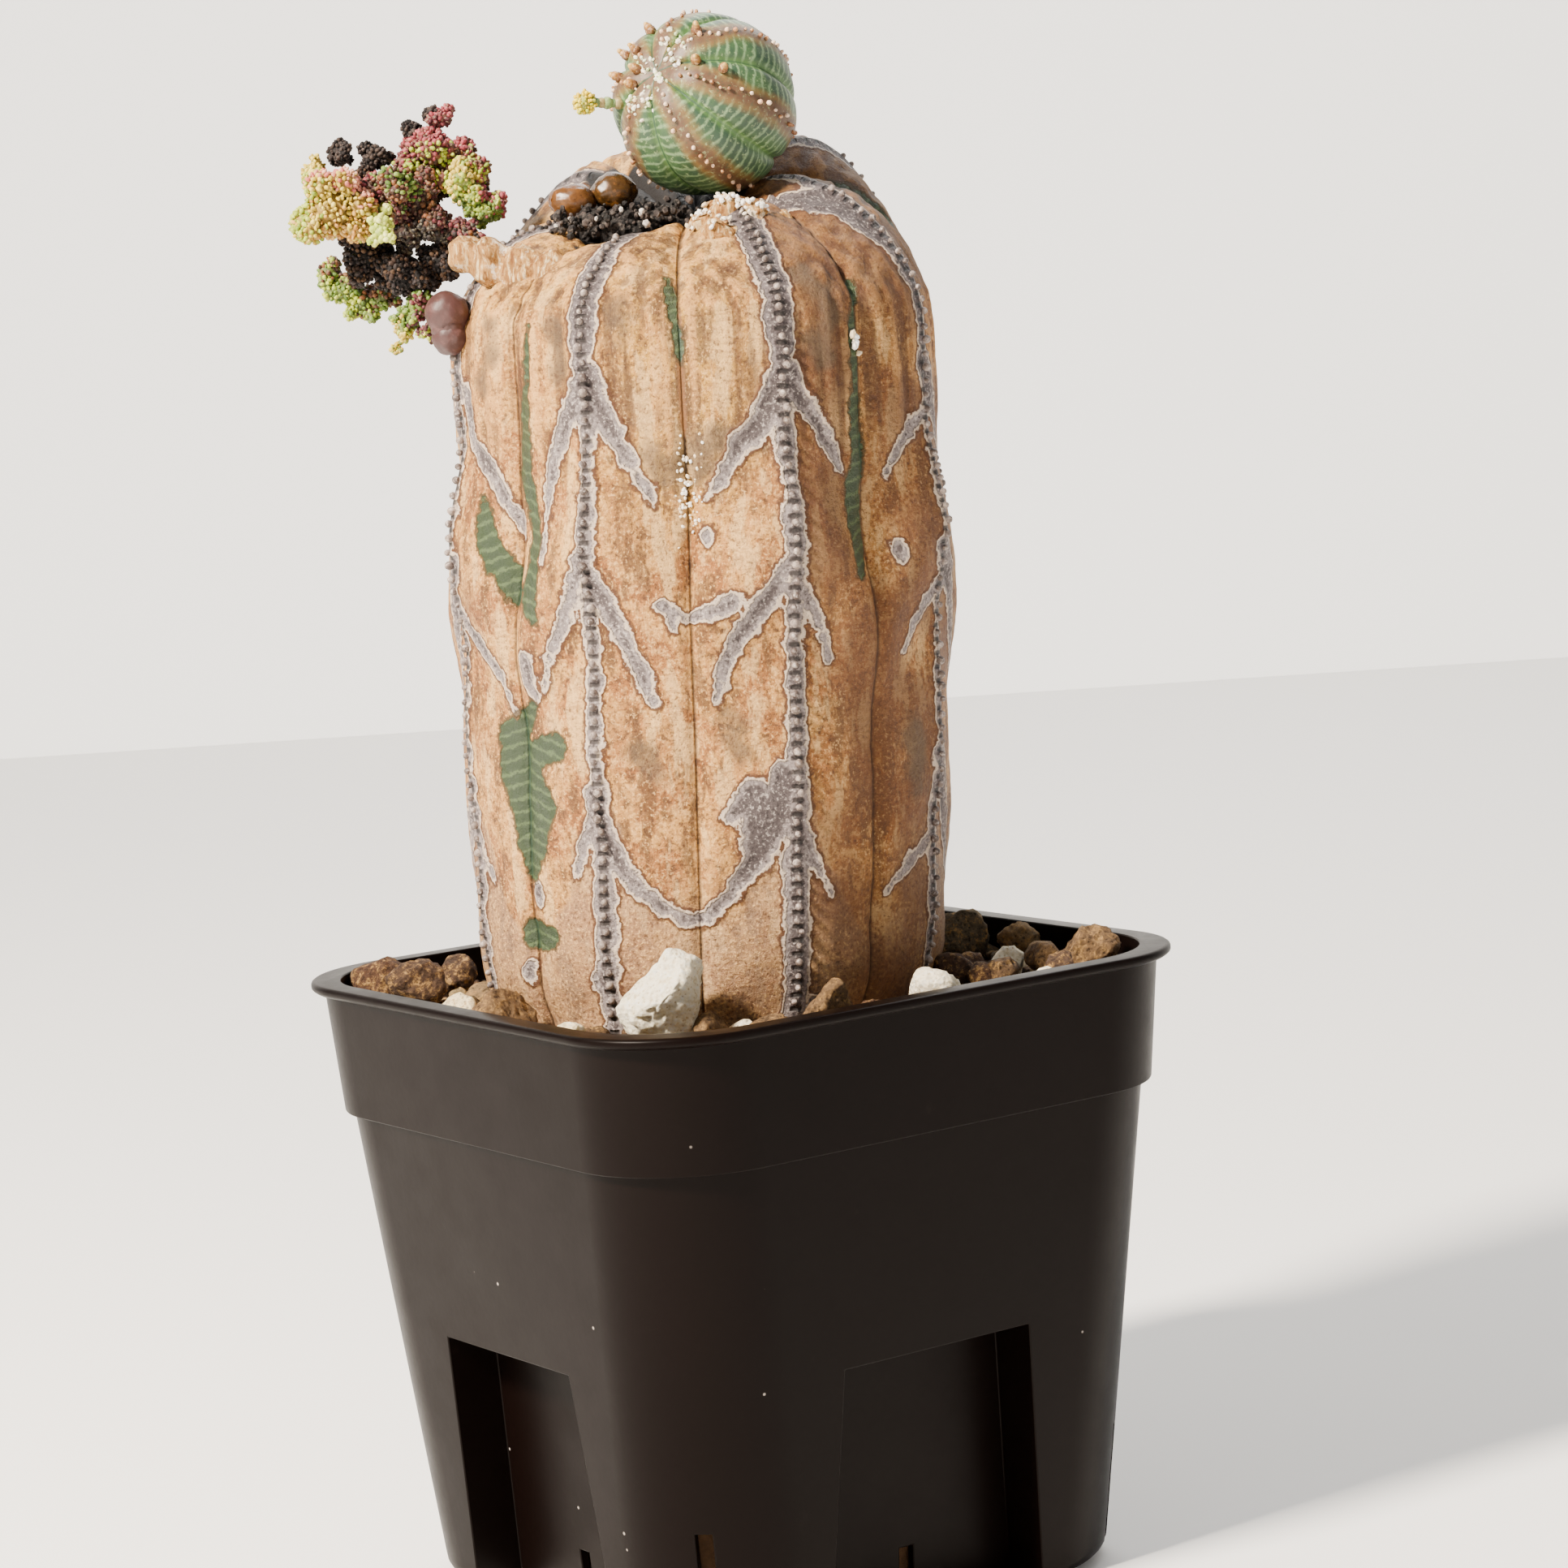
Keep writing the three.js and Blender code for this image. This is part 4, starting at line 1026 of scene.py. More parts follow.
def makeOffsetTrim():
    # tubercles along the crests, flower buds like small acorns, and pale crumbs at the growing point
    chance = random.Random(19)
    budFlesh = tintedMatter("driedBud", 0.42, 0.6, ("#e6c79a", "#3c2415"), 0.5, 0.08)
    template = beadTemplate(columns=8, rows=5)
    shape = bmesh.new()
    tints = []
    for crest in offset["crests"]:
        polar = 18 + chance.uniform(0, 6)
        while polar < 142:
            azimuth = crest + chance.gauss(0, 2.2)
            point = offsetPoint(polar, azimuth, 0.12)
            size = chance.uniform(0.2, 0.35)
            scatterCopies(shape, template, [beadMatrix(point, point - offset["centre"], size, size * 1.25)])
            code = chance.choice(["#e9cdb4", "#d8a884", "#a8744a", "#e3bfa0", "#8a5a38"])
            tints += [toLinear(code)] * len(template.vertices)
            polar += chance.uniform(4.6, 8.4)
    budPlaces = [(37, -38), (25, 49), (15, 80), (32, 89), (18, 115), (30, -76), (47, -85), (44, 30), (36, 62)]
    for polar, azimuth in budPlaces:
        for layer in range(3):
            size = (0.72, 0.6, 0.36)[layer] * chance.uniform(0.85, 1.1)
            point = offsetPoint(polar, azimuth, 0.3 + 0.5 * layer)
            scatterCopies(shape, template, [beadMatrix(point, point - offset["centre"], size, size * 1.1)])
            tints += [toLinear(("#6d4526", "#9a6a30", "#c39a4a")[layer])] * len(template.vertices)
    finishPiece("offset_tubercles", shape, [budFlesh],
                [f"offset_bud_{number}" for number in range(1, 5)], tints=tints)

    crumbShape = bmesh.new()
    crumbs = beadTemplate(subdivisions=1)
    crumbTints = []
    for _ in range(110):
        spot = chance.choice([(18, -60, 9), (5, -140, 7), (12, 60, 9), (20, 160, 8), (27, 140, 6), (24, -20, 8)])
        polar = abs(spot[0] + chance.gauss(0, spot[2] * 0.6))
        azimuth = spot[1] + chance.gauss(0, spot[2] * 2)
        point = offsetPoint(polar, azimuth, 0.1)
        size = chance.uniform(0.1, 0.34)
        scatterCopies(crumbShape, crumbs, [beadMatrix(point, [chance.gauss(0, 1) for _ in range(3)], size, size * 1.5)])
        crumbTints += [toLinear(chance.choice(["#f4eee6", "#dfe5c8", "#e9dcc6", "#c5d49a"]))] * len(crumbs.vertices)
    crust = tintedMatter("driedSap", 0.5, 0.3, ("#ffffff", "#9a8f80"), 0.4, 0.05)
    finishPiece("offset_crumbs", crumbShape, [crust], tints=crumbTints, smooth=False)


makeOffset()
makeOffsetTrim()
print("green offset is made")


# ---- lumps, heads and clumps ----

def lumpShape(shape, balls, subdivisions, rough, seed, fibre=0.0):
    # noisy balls, kept within their radius
    for number, (x, y, z, radius) in enumerate(balls):
        made = bmesh.ops.create_icosphere(shape, subdivisions=subdivisions, radius=1)["verts"]
        shift = Vector((seed * 3.7 + number, seed * 1.3, number * 5.1))
        for vert in made:
            p = vert.co.copy()
            broad = noise.noise(p * 1.4 + shift)
            small = noise.noise(p * 4.5 + shift)
            strand = noise.noise(Vector((p.x * 9, p.y * 9, p.z * 1.5)) + shift)
            scale = 1 - rough * (0.5 + 0.6 * broad + 0.4 * small) - fibre * (0.5 + 0.5 * strand)
            vert.co = p * radius * min(scale, 1.0) + Vector((x, y, z))


def headTint(direction, palette, chance):
    best = max(palette, key=lambda entry: Vector(entry[1]).dot(direction) + chance.gauss(0, 0.32))
    return toLinear(chance.choice(best[0]))


def growHead(name, nodes, balls, palette, material, bead, stretch, chance, core):
    # a head of the crested branch: lobes crowded round each centre, all covered in small tubercles
    shape = bmesh.new()
    lobes = []
    for x, y, z, radius in balls:
        count = max(4, int(radius * 1.9))
        lobes.append((Vector((x, y, z)), radius * 0.62))
        for direction in spreadPoints(count, chance, 0.8):
            size = radius * chance.uniform(0.3, 0.46)
            lobes.append((Vector((x, y, z)) + direction * (radius - size), size))
    lumpShape(shape, [(*place, max(size - bead * 0.7, 0.4)) for place, size in lobes], 2, 0.2, chance.random() * 10)
    tints = [toLinear(core)] * len(shape.verts)
    template = beadTemplate(columns=6, rows=4)
    middle = sum((Vector(ball[:3]) for ball in balls), Vector()) / len(balls)
    for place, size in lobes:
        for direction in spreadPoints(int(4.0 * (size / bead) ** 2), chance):
            spot = place + direction * (size - bead * 0.9)
            if any((spot - other).length < reach - bead * 1.1 for other, reach in lobes if other != place):
                continue
            grain = bead * chance.uniform(0.5, 1.05)
            out = direction + Vector([chance.gauss(0, 0.5) for _ in range(3)])
            long = min(grain * stretch * chance.uniform(0.8, 1.2), bead * 1.1)
            scatterCopies(shape, template, [beadMatrix(spot, out, grain * 0.8, long, chance.random() * 6)])
            facing = ((spot - middle).normalized() + direction * 0.3).normalized()
            tints += [headTint(facing, palette, chance)] * len(template.vertices)
    finishPiece(name, shape, [material], nodes, tints=tints)


def makeCrest():
    # the crested branch: cauliflower-like heads of soft, dull tubercles in several colours, partly dead
    chance = random.Random(5)
    soft = tintedMatter("crestedTubercles", 0.62, 0.2, ("#f0e3b8", "#4a2f22"), 0.55, 0.1, 0.35)
    char = tintedMatter("deadTubercles", 0.8, 0.55, ("#5e5350", "#0c090a"), 0.6, 0.2, 0.3)
    pink, gold, lime, leaf = ["#c98270", "#b8625a", "#d9a083"], ["#c2ab3c", "#ab9430", "#d6c25c"], \
        ["#94a22c", "#7d9226", "#aab844"], ["#567524", "#6b8330", "#486322"]
    red, wine = ["#86303a", "#6f2530", "#a24550", "#93404a"], ["#561a26", "#421620", "#66282f"]
    tan, black = ["#b5893c", "#a0702e", "#c59f58"], ["#151112", "#1f191a", "#0d0a0b", "#2b2423"]
    earth = ["#54301f", "#744523", "#3a1f18"]
    heads = [
        ("crested_head_rosy", "crest_rose", ["crest_rosy_head"], [(-44.2, -9.8, 181.0, 6.0)],
         [(pink, (0.3, 0.1, 0.9)), (gold, (0.1, -1.0, 0.0)), (tan, (0.1, -0.4, -0.8)), (lime, (-0.9, -0.2, -0.3))],
         soft, 0.44, 1.5, "#8f7430"),
        ("crested_head_yellow", "crest_green", ["crest_yellow_head"], [(-46.8, -4.4, 186.0, 2.7)],
         [(gold, (0, 0, 1)), (lime, (0, 0, -1))], soft, 0.44, 1.3, "#8a9038"),
        ("crested_head_red", "crest_red", ["crest_red_head"],
         [(-32.0, -2.4, 188.2, 4.9), (-28.2, -3, 185.6, 4.8), (-35.0, -3.4, 186.4, 3.0)],
         [(red, (0, 0, 0.8)), (wine, (-0.5, 0, -0.2)), (earth, (0.2, -0.4, -0.6)), (lime, (0.1, -0.8, -0.7))],
         soft, 0.46, 1.3, "#5e3028"),
        ("crested_tip_red", "crest_red", ["crest_red_tip"], [(-30.0, -2, 192.2, 2.4)],
         [(red, (0, 0, 1)), (wine, (0, 0, -1))], soft, 0.42, 1.4, "#5f2228"),
        ("crested_head_wine", "crest_red", ["crest_wine_head"], [(-36.2, -7.4, 183.2, 4.7)],
         [(wine, (-0.4, 0, -0.5)), (red, (0.3, 0, 0.7)), (earth, (0, -0.9, 0.3)), (leaf, (0.6, -0.6, 0.8))],
         soft, 0.46, 1.25, "#40191c"),
        ("crested_head_green", "crest_green", ["crest_green_head"], [(-27.4, -6.4, 182.9, 4.1), (-24.6, -6.2, 180.3, 3.4)],
         [(lime, (0, -0.6, 0)), (leaf, (0, 0, -1)), (red, (0.9, 0, 0.2)), (gold, (-0.3, -0.3, 0.7))],
         soft, 0.46, 1.2, "#6a7a2c"),
        ("crested_head_brown", "crest_red", ["crest_brown_head"], [(-32.6, -6.4, 179.0, 4.4), (-29.2, -7.4, 177.4, 3.2), (-36.2, -5.6, 178.2, 3.9),
          (-27.4, -8.6, 176.6, 2.8), (-33.4, -5, 183.6, 3.2)],
         [(earth, (0, 0, 0.5)), (wine, (0.5, 0, 0)), (black, (-0.2, 0, -0.9))], soft, 0.48, 1.1, "#2f1914"),
        ("crested_rosette", "crest_green", ["crest_rosette"],
         [(-37.6, -15.4, 177.9, 2.7), (-38.2, -12.6, 178.6, 2.2), (-38.8, -10.2, 179.4, 2.4), (-37.2, -8.6, 180.6, 2.4)],
         [(["#c6cf62", "#aebf48", "#d8de84"], (0, -0.6, 0.5)), (lime, (0, 0.2, -0.8))], soft, 0.62, 0.9, "#8a9c3c"),
        ("crested_head_low_left", "crest_green", ["crest_head_low_left"],
         [(-46.2, -0.8, 173.4, 2.8), (-44.6, -1.4, 171.0, 2.8), (-42.2, -0.8, 169.4, 3.4), (-39.4, -2, 169.8, 2.9)],
         [(leaf, (0, 0, 0)), (earth, (0.4, 0, 0.5)), (lime, (-0.5, 0, -0.3))], soft, 0.46, 1.1, "#4c5c22"),
        ("crested_head_low", "crest_green", ["crest_head_low"],
         [(-34.6, -6, 168.2, 3.0), (-36.6, -6, 165.8, 2.4), (-37.8, -6, 163.4, 1.4), (-33.0, -7, 165.2, 2.3)],
         [(lime, (0, -0.3, -0.5)), (leaf, (0, 0, 0.6)), (wine, (0.8, -0.4, 0.1)), (gold, (-0.5, 0, -0.8))],
         soft, 0.46, 1.2, "#5c6a26"),
        ("dead_clump_high", "dead_tissue", ["dead_clump_upper", "dead_clump_top"],
         [(-38.8, -3.2, 187.6, 2.9), (-43.6, -2.6, 188.2, 2.7), (-34.4, -1, 191.0, 2.2), (-31.6, -0.6, 192.6, 2.1)],
         [(black, (0, 0, 0)), (["#2f2624", "#443832"], (0.1, -0.3, 0.1))], char, 0.4, 1.0, "#0e0b0b"),
        ("dead_clump_deep", "dead_tissue", ["dead_clump_lower"],
         [(-41.2, -4.4, 174.9, 4.6), (-36.0, -6, 172.3, 4.4), (-32.0, -5.4, 173.4, 3.8), (-38.6, -3.2, 180.2, 4.3),
          (-33.4, -2.4, 181.6, 4.0), (-29.0, -5, 174.8, 3.4), (-40.6, -3, 184.6, 2.9)],
         [(black, (0, 0, 0)), (["#33231b", "#4a3524"], (0, -0.2, 0.2))], char, 0.44, 1.0, "#0c0909"),
    ]
    for name, slotName, nodes, balls, palette, material, bead, stretch, core in heads:
        growHead(name, nodes, balls, palette, material, bead, stretch, chance, core)


def fibrousCork():
    # torn, fibrous cork: cream and tan strands over brown, dull and rough
    material, tree, shader = startMaterial("fibrousCork", {"Roughness": 0.8, "Specular IOR Level": 0.3})
    place = addNode(tree, "ShaderNodeTexCoord").outputs["Object"]
    drawn = addNode(tree, "ShaderNodeMapping", None,
                    {"Vector": place, "Rotation": (0.5, 0.3, 0), "Scale": (1, 1, 0.22)}).outputs[0]
    strand = addNode(tree, "ShaderNodeTexNoise", None,
                     {"Vector": drawn, "Scale": perMm(0.6), "Detail": 7, "Roughness": 0.7}).outputs["Fac"]
    patch = addNode(tree, "ShaderNodeTexNoise", None,
                    {"Vector": place, "Scale": perMm(2.2), "Detail": 5, "Roughness": 0.65}).outputs["Fac"]
    colour = addNode(tree, "ShaderNodeMix", {"data_type": "RGBA"},
                     {0: patch, 6: toLinear("#8f6430"), 7: toLinear("#bd9055")}).outputs[2]
    for source, low, high, most, code in (
        (patch, 0.5, 0.42, 0.8, "#7d5428"), (strand, 0.51, 0.62, 0.8, "#e0c898"), (strand, 0.47, 0.37, 0.85, "#6b3f1c"),
        (patch, 0.58, 0.66, 0.7, "#e9dcc6"),
    ):
        layer = addNode(tree, "ShaderNodeMapRange", {"interpolation_type": "SMOOTHSTEP"},
                        {"Value": source, "From Min": low, "From Max": high, "To Max": most}).outputs[0]
        colour = addNode(tree, "ShaderNodeMix", {"data_type": "RGBA"}, {0: layer, 6: colour, 7: toLinear(code)}).outputs[2]
    tree.links.new(colour, shader.inputs["Base Color"])
    bump = addNode(tree, "ShaderNodeBump", None, {"Height": strand, "Strength": 1.0, "Distance": 0.0005})
    tree.links.new(bump.outputs[0], shader.inputs["Normal"])
    return material


def makeLump(name, nodes, balls, material, code="#ffffff", rough=0.08, fibre=0.0, seed=1,
             voxel=0.0, stretch=(1, 1, 1)):
    # balls run together like clay, when voxel says how fine
    shape = bmesh.new()
    lumpShape(shape, balls, 4, rough, seed, fibre)
    middle = sum((Vector(ball[:3]) for ball in balls), Vector()) / len(balls)
    for vert in shape.verts:
        offsetBy = vert.co - middle
        vert.co = middle + Vector((offsetBy.x * stretch[0], offsetBy.y * stretch[1], offsetBy.z * stretch[2]))
    tints = [toLinear(code)] * len(shape.verts)
    piece = finishPiece(name, shape, [material], nodes, tints=tints)
    if voxel:
        clay = piece.modifiers.new("clay", "REMESH")
        clay.mode = "VOXEL"
        clay.voxel_size = voxel * mm
        clay.use_smooth_shade = True
        settle = piece.modifiers.new("settle", "SMOOTH")
        settle.factor = 0.5
        settle.iterations = 5
    return piece


makeCrest()
fibrous = fibrousCork()
glossy = tintedMatter("sapGlazedBud", 0.22, 0.85, ("#74491f", "#241004"), 1.5, 0.12, 0.5)
plum = tintedMatter("plumSkinnedBud", 0.5, 0.4, ("#6a4844", "#301b1a"), 1.4, 0.1)
crust = tintedMatter("deadCrust", 0.7, 0.7, ("#5f5650", "#030202"), 0.7, 0.4, 0.35)
makeLump("crested_branch_stub", ["crest_stub"],
         [(-12.8, -17.4, 171.0, 3.4), (-16.6, -16.2, 171.2, 4.0), (-20.5, -14.0, 171.6, 4.4), (-24.2, -12.4, 172.8, 4.2), (-27.6, -10.4, 174.6, 3.4), (-24.6, -13.8, 174.6, 2.6)],
         fibrous, "#d5ae7c", 0.36, 0.24, 3, 0.35)
makeLump("purple_double_bud", ["crest_purple_bud"],
         [(-30.5, -12, 167.2, 3.0), (-30.3, -12, 164.3, 2.5), (-30.4, -12, 165.8, 2.5)], plum, "#412624", 0.12, 0, 4)
makeLump("fibrous_knob_front", ["cork_knob_front"],
         knobBalls, fibrous, "#dcbc86", 0.4, 0.4, 5, 0.25)
makeLump("fibrous_knob_right", ["cork_knob_right"],
         [(12.0, -15.4, 175.8, 2.3), (10.2, -16.6, 175.2, 1.7)], fibrous, "#d9b984", 0.35, 0.3, 6, 0.3)
makeLump("glazed_bud_left", ["corky_bud_left"], [(-14.0, -6.6, 180.3, 2.6)], glossy, "#553516",
         0.16, 0, 7, 0, (1.25, 1, 0.95))
makeLump("glazed_bud_right", ["corky_bud_right"], [(-8.8, -5.4, 181.2, 2.8)], glossy, "#3e2a12",
         0.16, 0, 8, 0, (1.15, 1, 0.95))
print("crested branch and knobs are made")


def makeDeadApex():
    chance = random.Random(23)
    shape = bmesh.new()
    lumpShape(shape, [(-7.6, -10.4, 175.8, 3.6), (-11.8, -8.6, 176.8, 2.9), (-3.8, -9.4, 176.6, 3.2)], 4, 0.45, 9)
    tints = [toLinear("#0f0b0b")] * len(shape.verts)
    template = beadTemplate(subdivisions=1)
    for _ in range(420):
        side, depth = chance.gauss(-7.2, 4.6), chance.gauss(-9.6, 2.4)
        level = 177.6 + chance.gauss(0, 0.9)
        size = chance.uniform(0.18, 0.62)
        scatterCopies(shape, template, [beadMatrix((side, depth, level), [chance.gauss(0, 1) for _ in range(3)],
                                                   size, size * chance.uniform(0.7, 1.5))])
        code = chance.choice(["#0a0808", "#151011", "#1f1918", "#2b2321", "#100c0d", "#0c090a", "#453a36"])
        if chance.random() < 0.035:
            code = "#d8d0c8"
        tints += [toLinear(code)] * len(template.vertices)
    finishPiece("dead_growing_point", shape, [crust], ["dead_apex"], tints=tints, smooth=False)


def makeFlower():
    chance = random.Random(31)
    head = Vector((-11.4, -11.6, 192.3))
    root = offset["centre"] + (head - offset["centre"]).normalized() * (offset["radius"] - 1)
    stalk = bmesh.new()
    template = beadTemplate(columns=9, rows=6)
    tints = []
    for step in range(7):
        way = step / 6
        place = root.lerp(head, way * 0.86)
        size = 0.72 + 0.14 * math.sin(step * 2.4)
        scatterCopies(stalk, template, [beadMatrix(place, head - root, size, 0.8)])
        tints += [toLinear(("#6f8a52", "#8a7a4a", "#5f7d4a")[step % 3])] * len(template.vertices)
    soft = tintedMatter("flowerStalk", 0.55, 0.4, ("#c9c79a", "#54452c"), 0.5, 0.08)
    finishPiece("flower_stalk", stalk, [soft], ["offset_flower_stalk"], tints=tints)
    shape = bmesh.new()
    tints = []
    grain = beadTemplate(columns=6, rows=4)
    lumpShape(shape, [(head.x, head.y, head.z, 1.25)], 3, 0.2, 2)
    tints = [toLinear("#8f9440")] * len(shape.verts)
    for direction in spreadPoints(90, chance):
        place = head + direction * chance.uniform(1.15, 1.45)
        size = chance.uniform(0.16, 0.3)
        scatterCopies(shape, grain, [beadMatrix(place, direction, size, size * 1.3)])
        tints += [toLinear(chance.choice(["#e6cc10", "#d2b408", "#f0de30", "#b09c20", "#9aa030"]))] * len(grain.vertices)
    pollen = tintedMatter("pollenHead", 0.6, 0.15, ("#fff3a0", "#8a7a1c"), 0.4, 0.05)
    finishPiece("flower_head", shape, [pollen], ["offset_flower_head"], tints=tints)


makeDeadApex()
makeFlower()
print("dead growing point and flower are made")


# ---- bed of stones ----

stones = {
    "lavaTints": ["#54402c", "#6a5238", "#463427", "#7a6446", "#5e5340", "#85724f", "#4a3324"],
    "pumiceTints": ["#f4e3b8", "#ecd9a8", "#f8ecce"],
}


def addStone(shape, tints, place, half, seed, code, subdivisions, pits):
    # a broken stone: a ball cut by a few random planes, then pitted
    chance = random.Random(seed)
    stone = bmesh.new()
    made = bmesh.ops.create_icosphere(stone, subdivisions=subdivisions, radius=1)["verts"]
    planes = [(Vector([chance.gauss(0, 1) for _ in range(3)]).normalized(), chance.uniform(0.5, 0.82)) for _ in range(10)]
    shift = Vector([chance.uniform(0, 50) for _ in range(3)])
    turn = Matrix.Rotation(chance.uniform(0, math.tau), 3, "Z") @ Matrix.Rotation(chance.uniform(-0.4, 0.4), 3, "X")
    for vert in made:
        p = vert.co.copy()
        for normal, reach in planes:
            over = p.dot(normal) - reach
            if over > 0:
                p -= normal * over * 0.9
        unit = vert.co
        swell = 0.1 * noise.noise(unit * 1.8 + shift) + 0.07 * noise.noise(unit * 4.5 + shift)
        if subdivisions > 2:
            cell = noise.voronoi(unit * 3.4 + shift)[0][0]
            swell -= pits * max(0, 0.42 - cell) + 0.03 * noise.noise(unit * 11 + shift)
        p = p * (1 + swell)
        p *= 1.12
        vert.co = turn @ Vector((p.x * half[0], p.y * half[1], p.z * half[2])) + place
    mesh = bpy.data.meshes.new("stone")
    stone.to_mesh(mesh)
    stone.free()
    shape.from_mesh(mesh)
    tints += [toLinear(code)] * len(mesh.vertices)
    bpy.data.meshes.remove(mesh)


def porousStone(name, codes, size, rough=0.9):
    # porous grit: dull and pitted, lighter on its raised grains and darker in its pores
    material, tree, shader = startMaterial(name, {"Roughness": rough, "Specular IOR Level": 0.25})
    place = addNode(tree, "ShaderNodeTexCoord").outputs["Object"]
    tint = addNode(tree, "ShaderNodeAttribute", {"attribute_name": "tint"}).outputs["Color"]
    grain = addNode(tree, "ShaderNodeTexNoise", None,
                    {"Vector": place, "Scale": perMm(size), "Detail": 9, "Roughness": 0.78}).outputs["Fac"]
    holes = addNode(tree, "ShaderNodeTexVoronoi", None, {"Vector": place, "Scale": perMm(size * 0.7)}).outputs["Distance"]
    wanted = (
        (grain, 0.5, 0.62, 0.8, codes[0]), (grain, 0.48, 0.36, 0.85, codes[1]), (holes, 0.3, 0.1, 0.6, codes[2]),
    )
    colour = tint
    for source, low, high, most, code in wanted:
        layer = addNode(tree, "ShaderNodeMapRange", {"interpolation_type": "SMOOTHSTEP"},
                        {"Value": source, "From Min": low, "From Max": high, "To Max": most}).outputs[0]
        colour = addNode(tree, "ShaderNodeMix", {"data_type": "RGBA"}, {0: layer, 6: colour, 7: toLinear(code)}).outputs[2]
    tree.links.new(colour, shader.inputs["Base Color"])
    height = addNode(tree, "ShaderNodeMath", {"operation": "MULTIPLY_ADD"}, {0: grain, 1: 1.6, 2: holes}).outputs[0]
    bump = addNode(tree, "ShaderNodeBump", None, {"Height": height, "Strength": 0.9, "Distance": 0.0004})
    tree.links.new(bump.outputs[0], shader.inputs["Normal"])
    return material


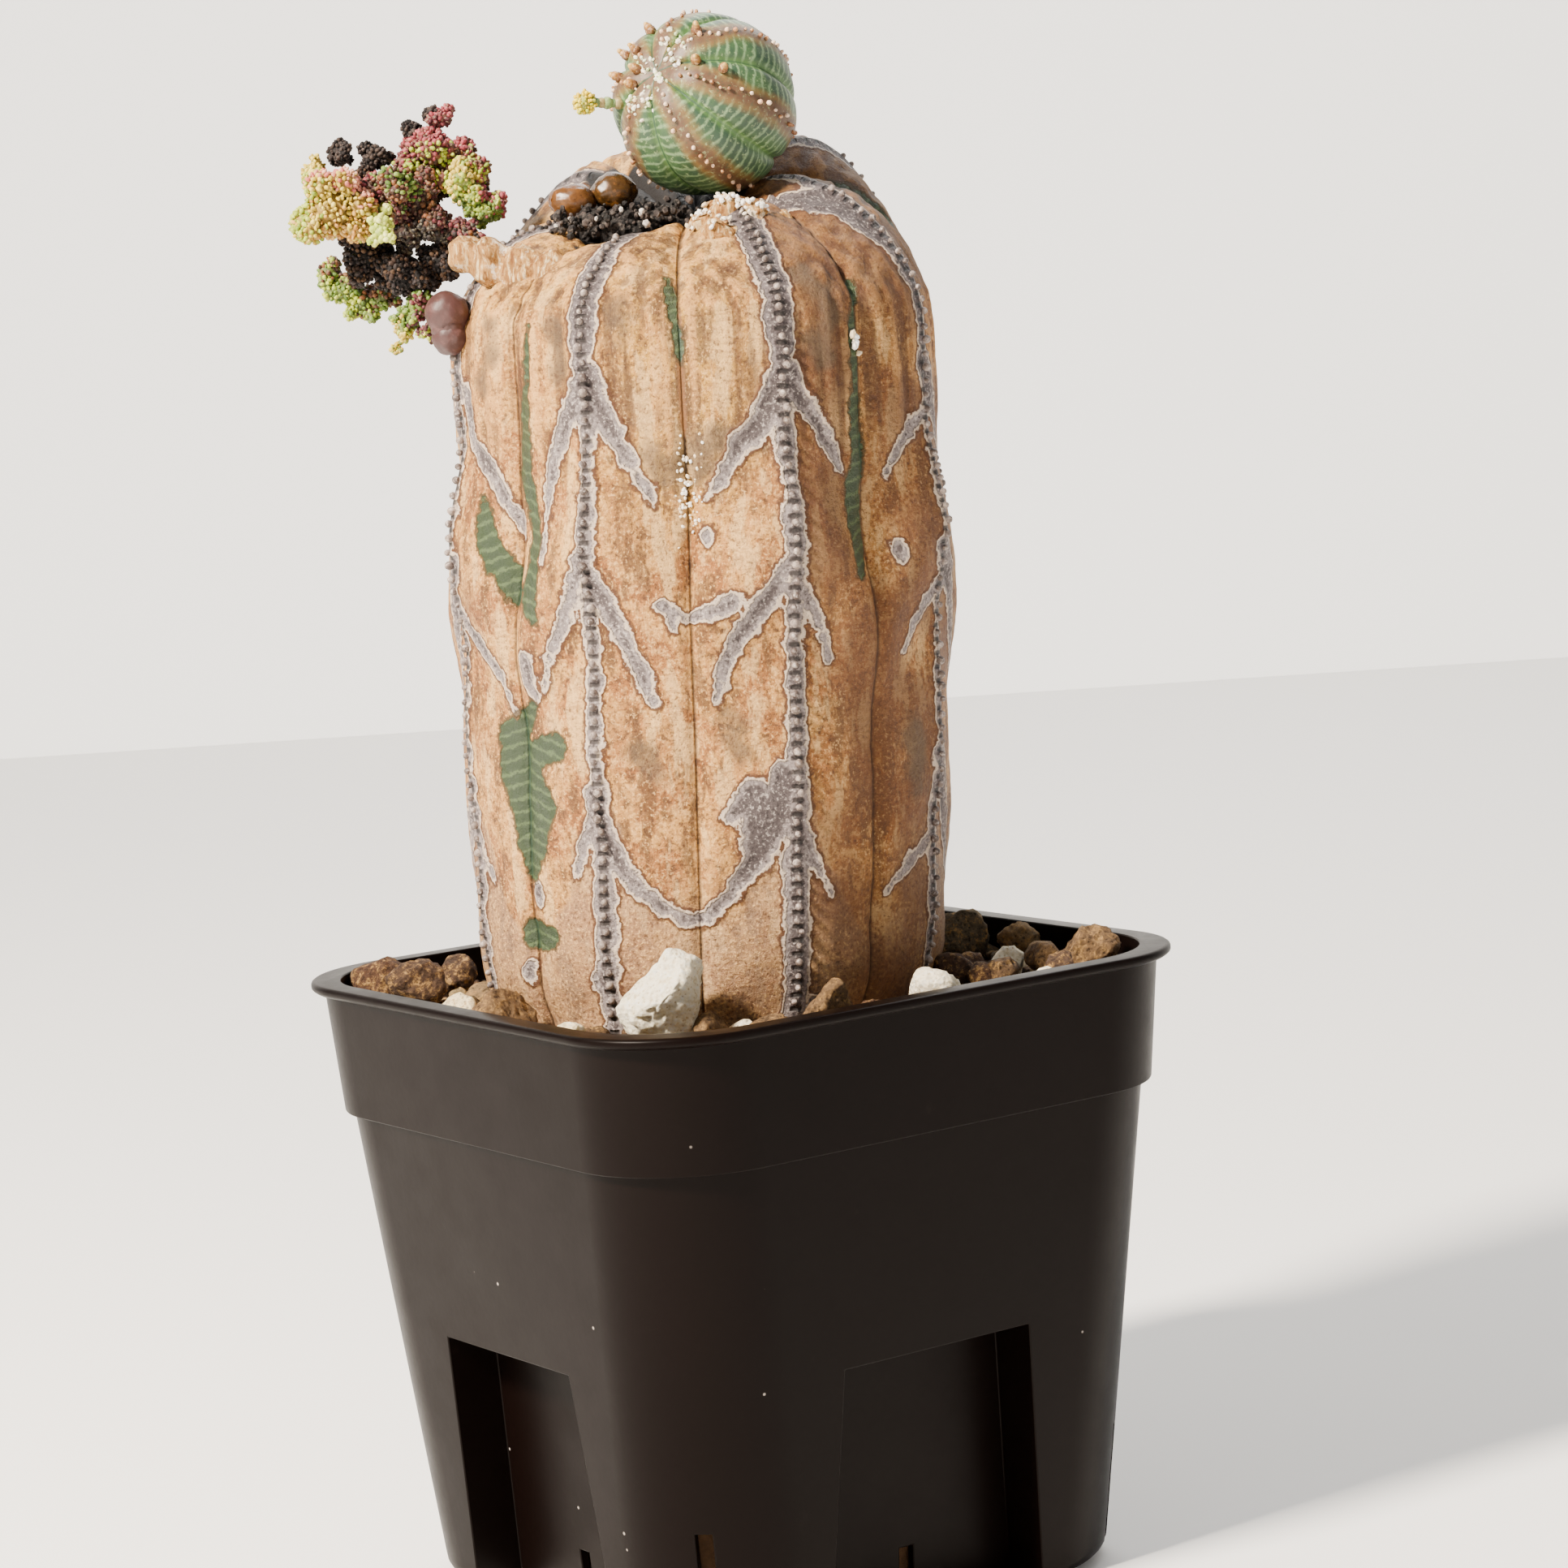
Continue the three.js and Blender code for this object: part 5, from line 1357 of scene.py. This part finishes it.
def makeStones():
    lava = porousStone("lavaGranule", ("#a9844f", "#21150c", "#140c07"), 1.1)
    pumice = porousStone("pumiceStone", ("#fffdf4", "#d9c598", "#b89f6c"), 0.9)
    chance = random.Random(77)
    taken = []
    bigShape, bigTints = bmesh.new(), []
    whiteShape, whiteTints = bmesh.new(), []

    def nodeBall(name):
        low, high = (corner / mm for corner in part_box(name))
        middle, half = (low + high) / 2, (high - low) / 2
        taken.append((middle.x, middle.y, max(half.x, half.y)))
        return middle, half

    for number in range(1, 17):
        middle, half = nodeBall(f"granule_{number}")
        addStone(bigShape, bigTints, middle, half * 1.06, number, chance.choice(stones["lavaTints"]), 4, 0.5)
    for number in range(1, 4):
        middle, half = nodeBall(f"pumice_{number}")
        addStone(whiteShape, whiteTints, middle, half * 1.06, 40 + number, chance.choice(stones["pumiceTints"]), 4, 0.35)

    # stones that lie between the large ones: x, y, radius and whether white
    between = [(-37.8, 9.6, 2.3, 0), (-33.7, 23.9, 1.6, 1), (-39, -16.5, 1.4, 1), (-33.8, -27.6, 1.6, 1),
               (-23.3, -27.6, 2.4, 0), (19.8, -26.2, 2.3, 0), (18, -22.5, 2.9, 0), (32.1, -25.2, 3.0, 0),
               (24.5, -34.5, 2.1, 1), (28.7, -35, 1.5, 1), (36, -32.8, 1.9, 0), (41, 7.1, 2.2, 0), (34.7, 2.4, 2.8, 0),
               (-29, -31, 1.2, 1), (10.5, -30.5, 2.2, 0), (14, -27, 1.9, 0)]
    for number, (x, y, radius, white) in enumerate(between):
        taken.append((x, y, radius))
        target = (whiteShape, whiteTints) if white else (bigShape, bigTints)
        code = chance.choice(stones["pumiceTints" if white else "lavaTints"])
        place = Vector((x, y, bedLevel + radius * 0.85 + 0.6))
        addStone(*target, place, Vector((radius, radius * 0.92, radius * 0.88)), 60 + number, code, 3, 0.4)

    finishPiece("lava_granules", bigShape, [lava], [f"granule_{n}" for n in range(1, 17)],
                inPlant=False, tints=bigTints)
    finishPiece("pumice_stones", whiteShape, [pumice], [f"pumice_{n}" for n in range(1, 4)],
                inPlant=False, tints=whiteTints)

    leaning, leaningTints = bmesh.new(), []
    middle, half = nodeBall("pumice_large")
    addStone(leaning, leaningTints, middle, Vector((half.x * 1.26, half.y * 0.98, half.z * 0.95)), 12, "#fff6da", 5, 0.2)
    finishPiece("leaning_pumice", leaning, [pumice], ["pumice_large"], inPlant=False, tints=leaningTints)

    # smaller stones fill the bed, then grit
    fill, fillTints = bmesh.new(), []
    roomHalf = pot["collarHalf"] - pot["wall"]
    cornerInner = pot["cornerRadius"] - pot["wall"]
    axis = plantMatrix @ Vector((stem["lean"], 0, 0))
    tries = 0
    placed = 0
    while tries < 9000:
        tries += 1
        radius = chance.uniform(1.3, 2.9) if tries < 4000 else chance.uniform(0.5, 1.2)
        x, y = chance.uniform(-roomHalf, roomHalf), chance.uniform(-roomHalf, roomHalf)
        overX, overY = abs(x) - (roomHalf - cornerInner), abs(y) - (roomHalf - cornerInner)
        outside = math.hypot(max(overX, 0), max(overY, 0))
        room = cornerInner - outside - min(max(overX, overY), 0)
        if room < radius + 0.2 or math.hypot(x - axis.x, y - axis.y) < 28.2 + radius:
            continue
        if any(math.hypot(x - ox, y - oy) < (r + radius) * (0.93 if radius > 1.25 else 0.8) for ox, oy, r in taken):
            continue
        taken.append((x, y, radius))
        white = chance.random() < 0.13
        code = chance.choice(stones["pumiceTints"]) if white else chance.choice(stones["lavaTints"])
        place = Vector((x, y, bedLevel + radius * 0.55))
        addStone(fill, fillTints, place, Vector((radius, radius, radius * 0.85)), 500 + placed, code,
                 3 if radius > 1.25 else 2, 0.4)
        placed += 1
    print("small stones:", placed)
    finishPiece("bed_grit", fill, [lava], inPlant=False, tints=fillTints)


def bedMatter():
    # damp potting grit seen between the stones: dark and crumbly
    material, tree, shader = startMaterial("dampGrit", {"Roughness": 0.95, "Specular IOR Level": 0.2})
    place = addNode(tree, "ShaderNodeTexCoord").outputs["Object"]
    grain = addNode(tree, "ShaderNodeTexNoise", None,
                    {"Vector": place, "Scale": perMm(1.4), "Detail": 9, "Roughness": 0.8}).outputs["Fac"]
    colour = addNode(tree, "ShaderNodeMix", {"data_type": "RGBA"},
                     {0: grain, 6: toLinear("#1d130c"), 7: toLinear("#6b4e34")}).outputs[2]
    tree.links.new(colour, shader.inputs["Base Color"])
    bump = addNode(tree, "ShaderNodeBump", None, {"Height": grain, "Strength": 1.0, "Distance": 0.001})
    tree.links.new(bump.outputs[0], shader.inputs["Normal"])
    return material


makeStones()
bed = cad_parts["substrate"]
bed.data.materials.clear()
bed.data.materials.append(bedMatter())
print("bed is made")
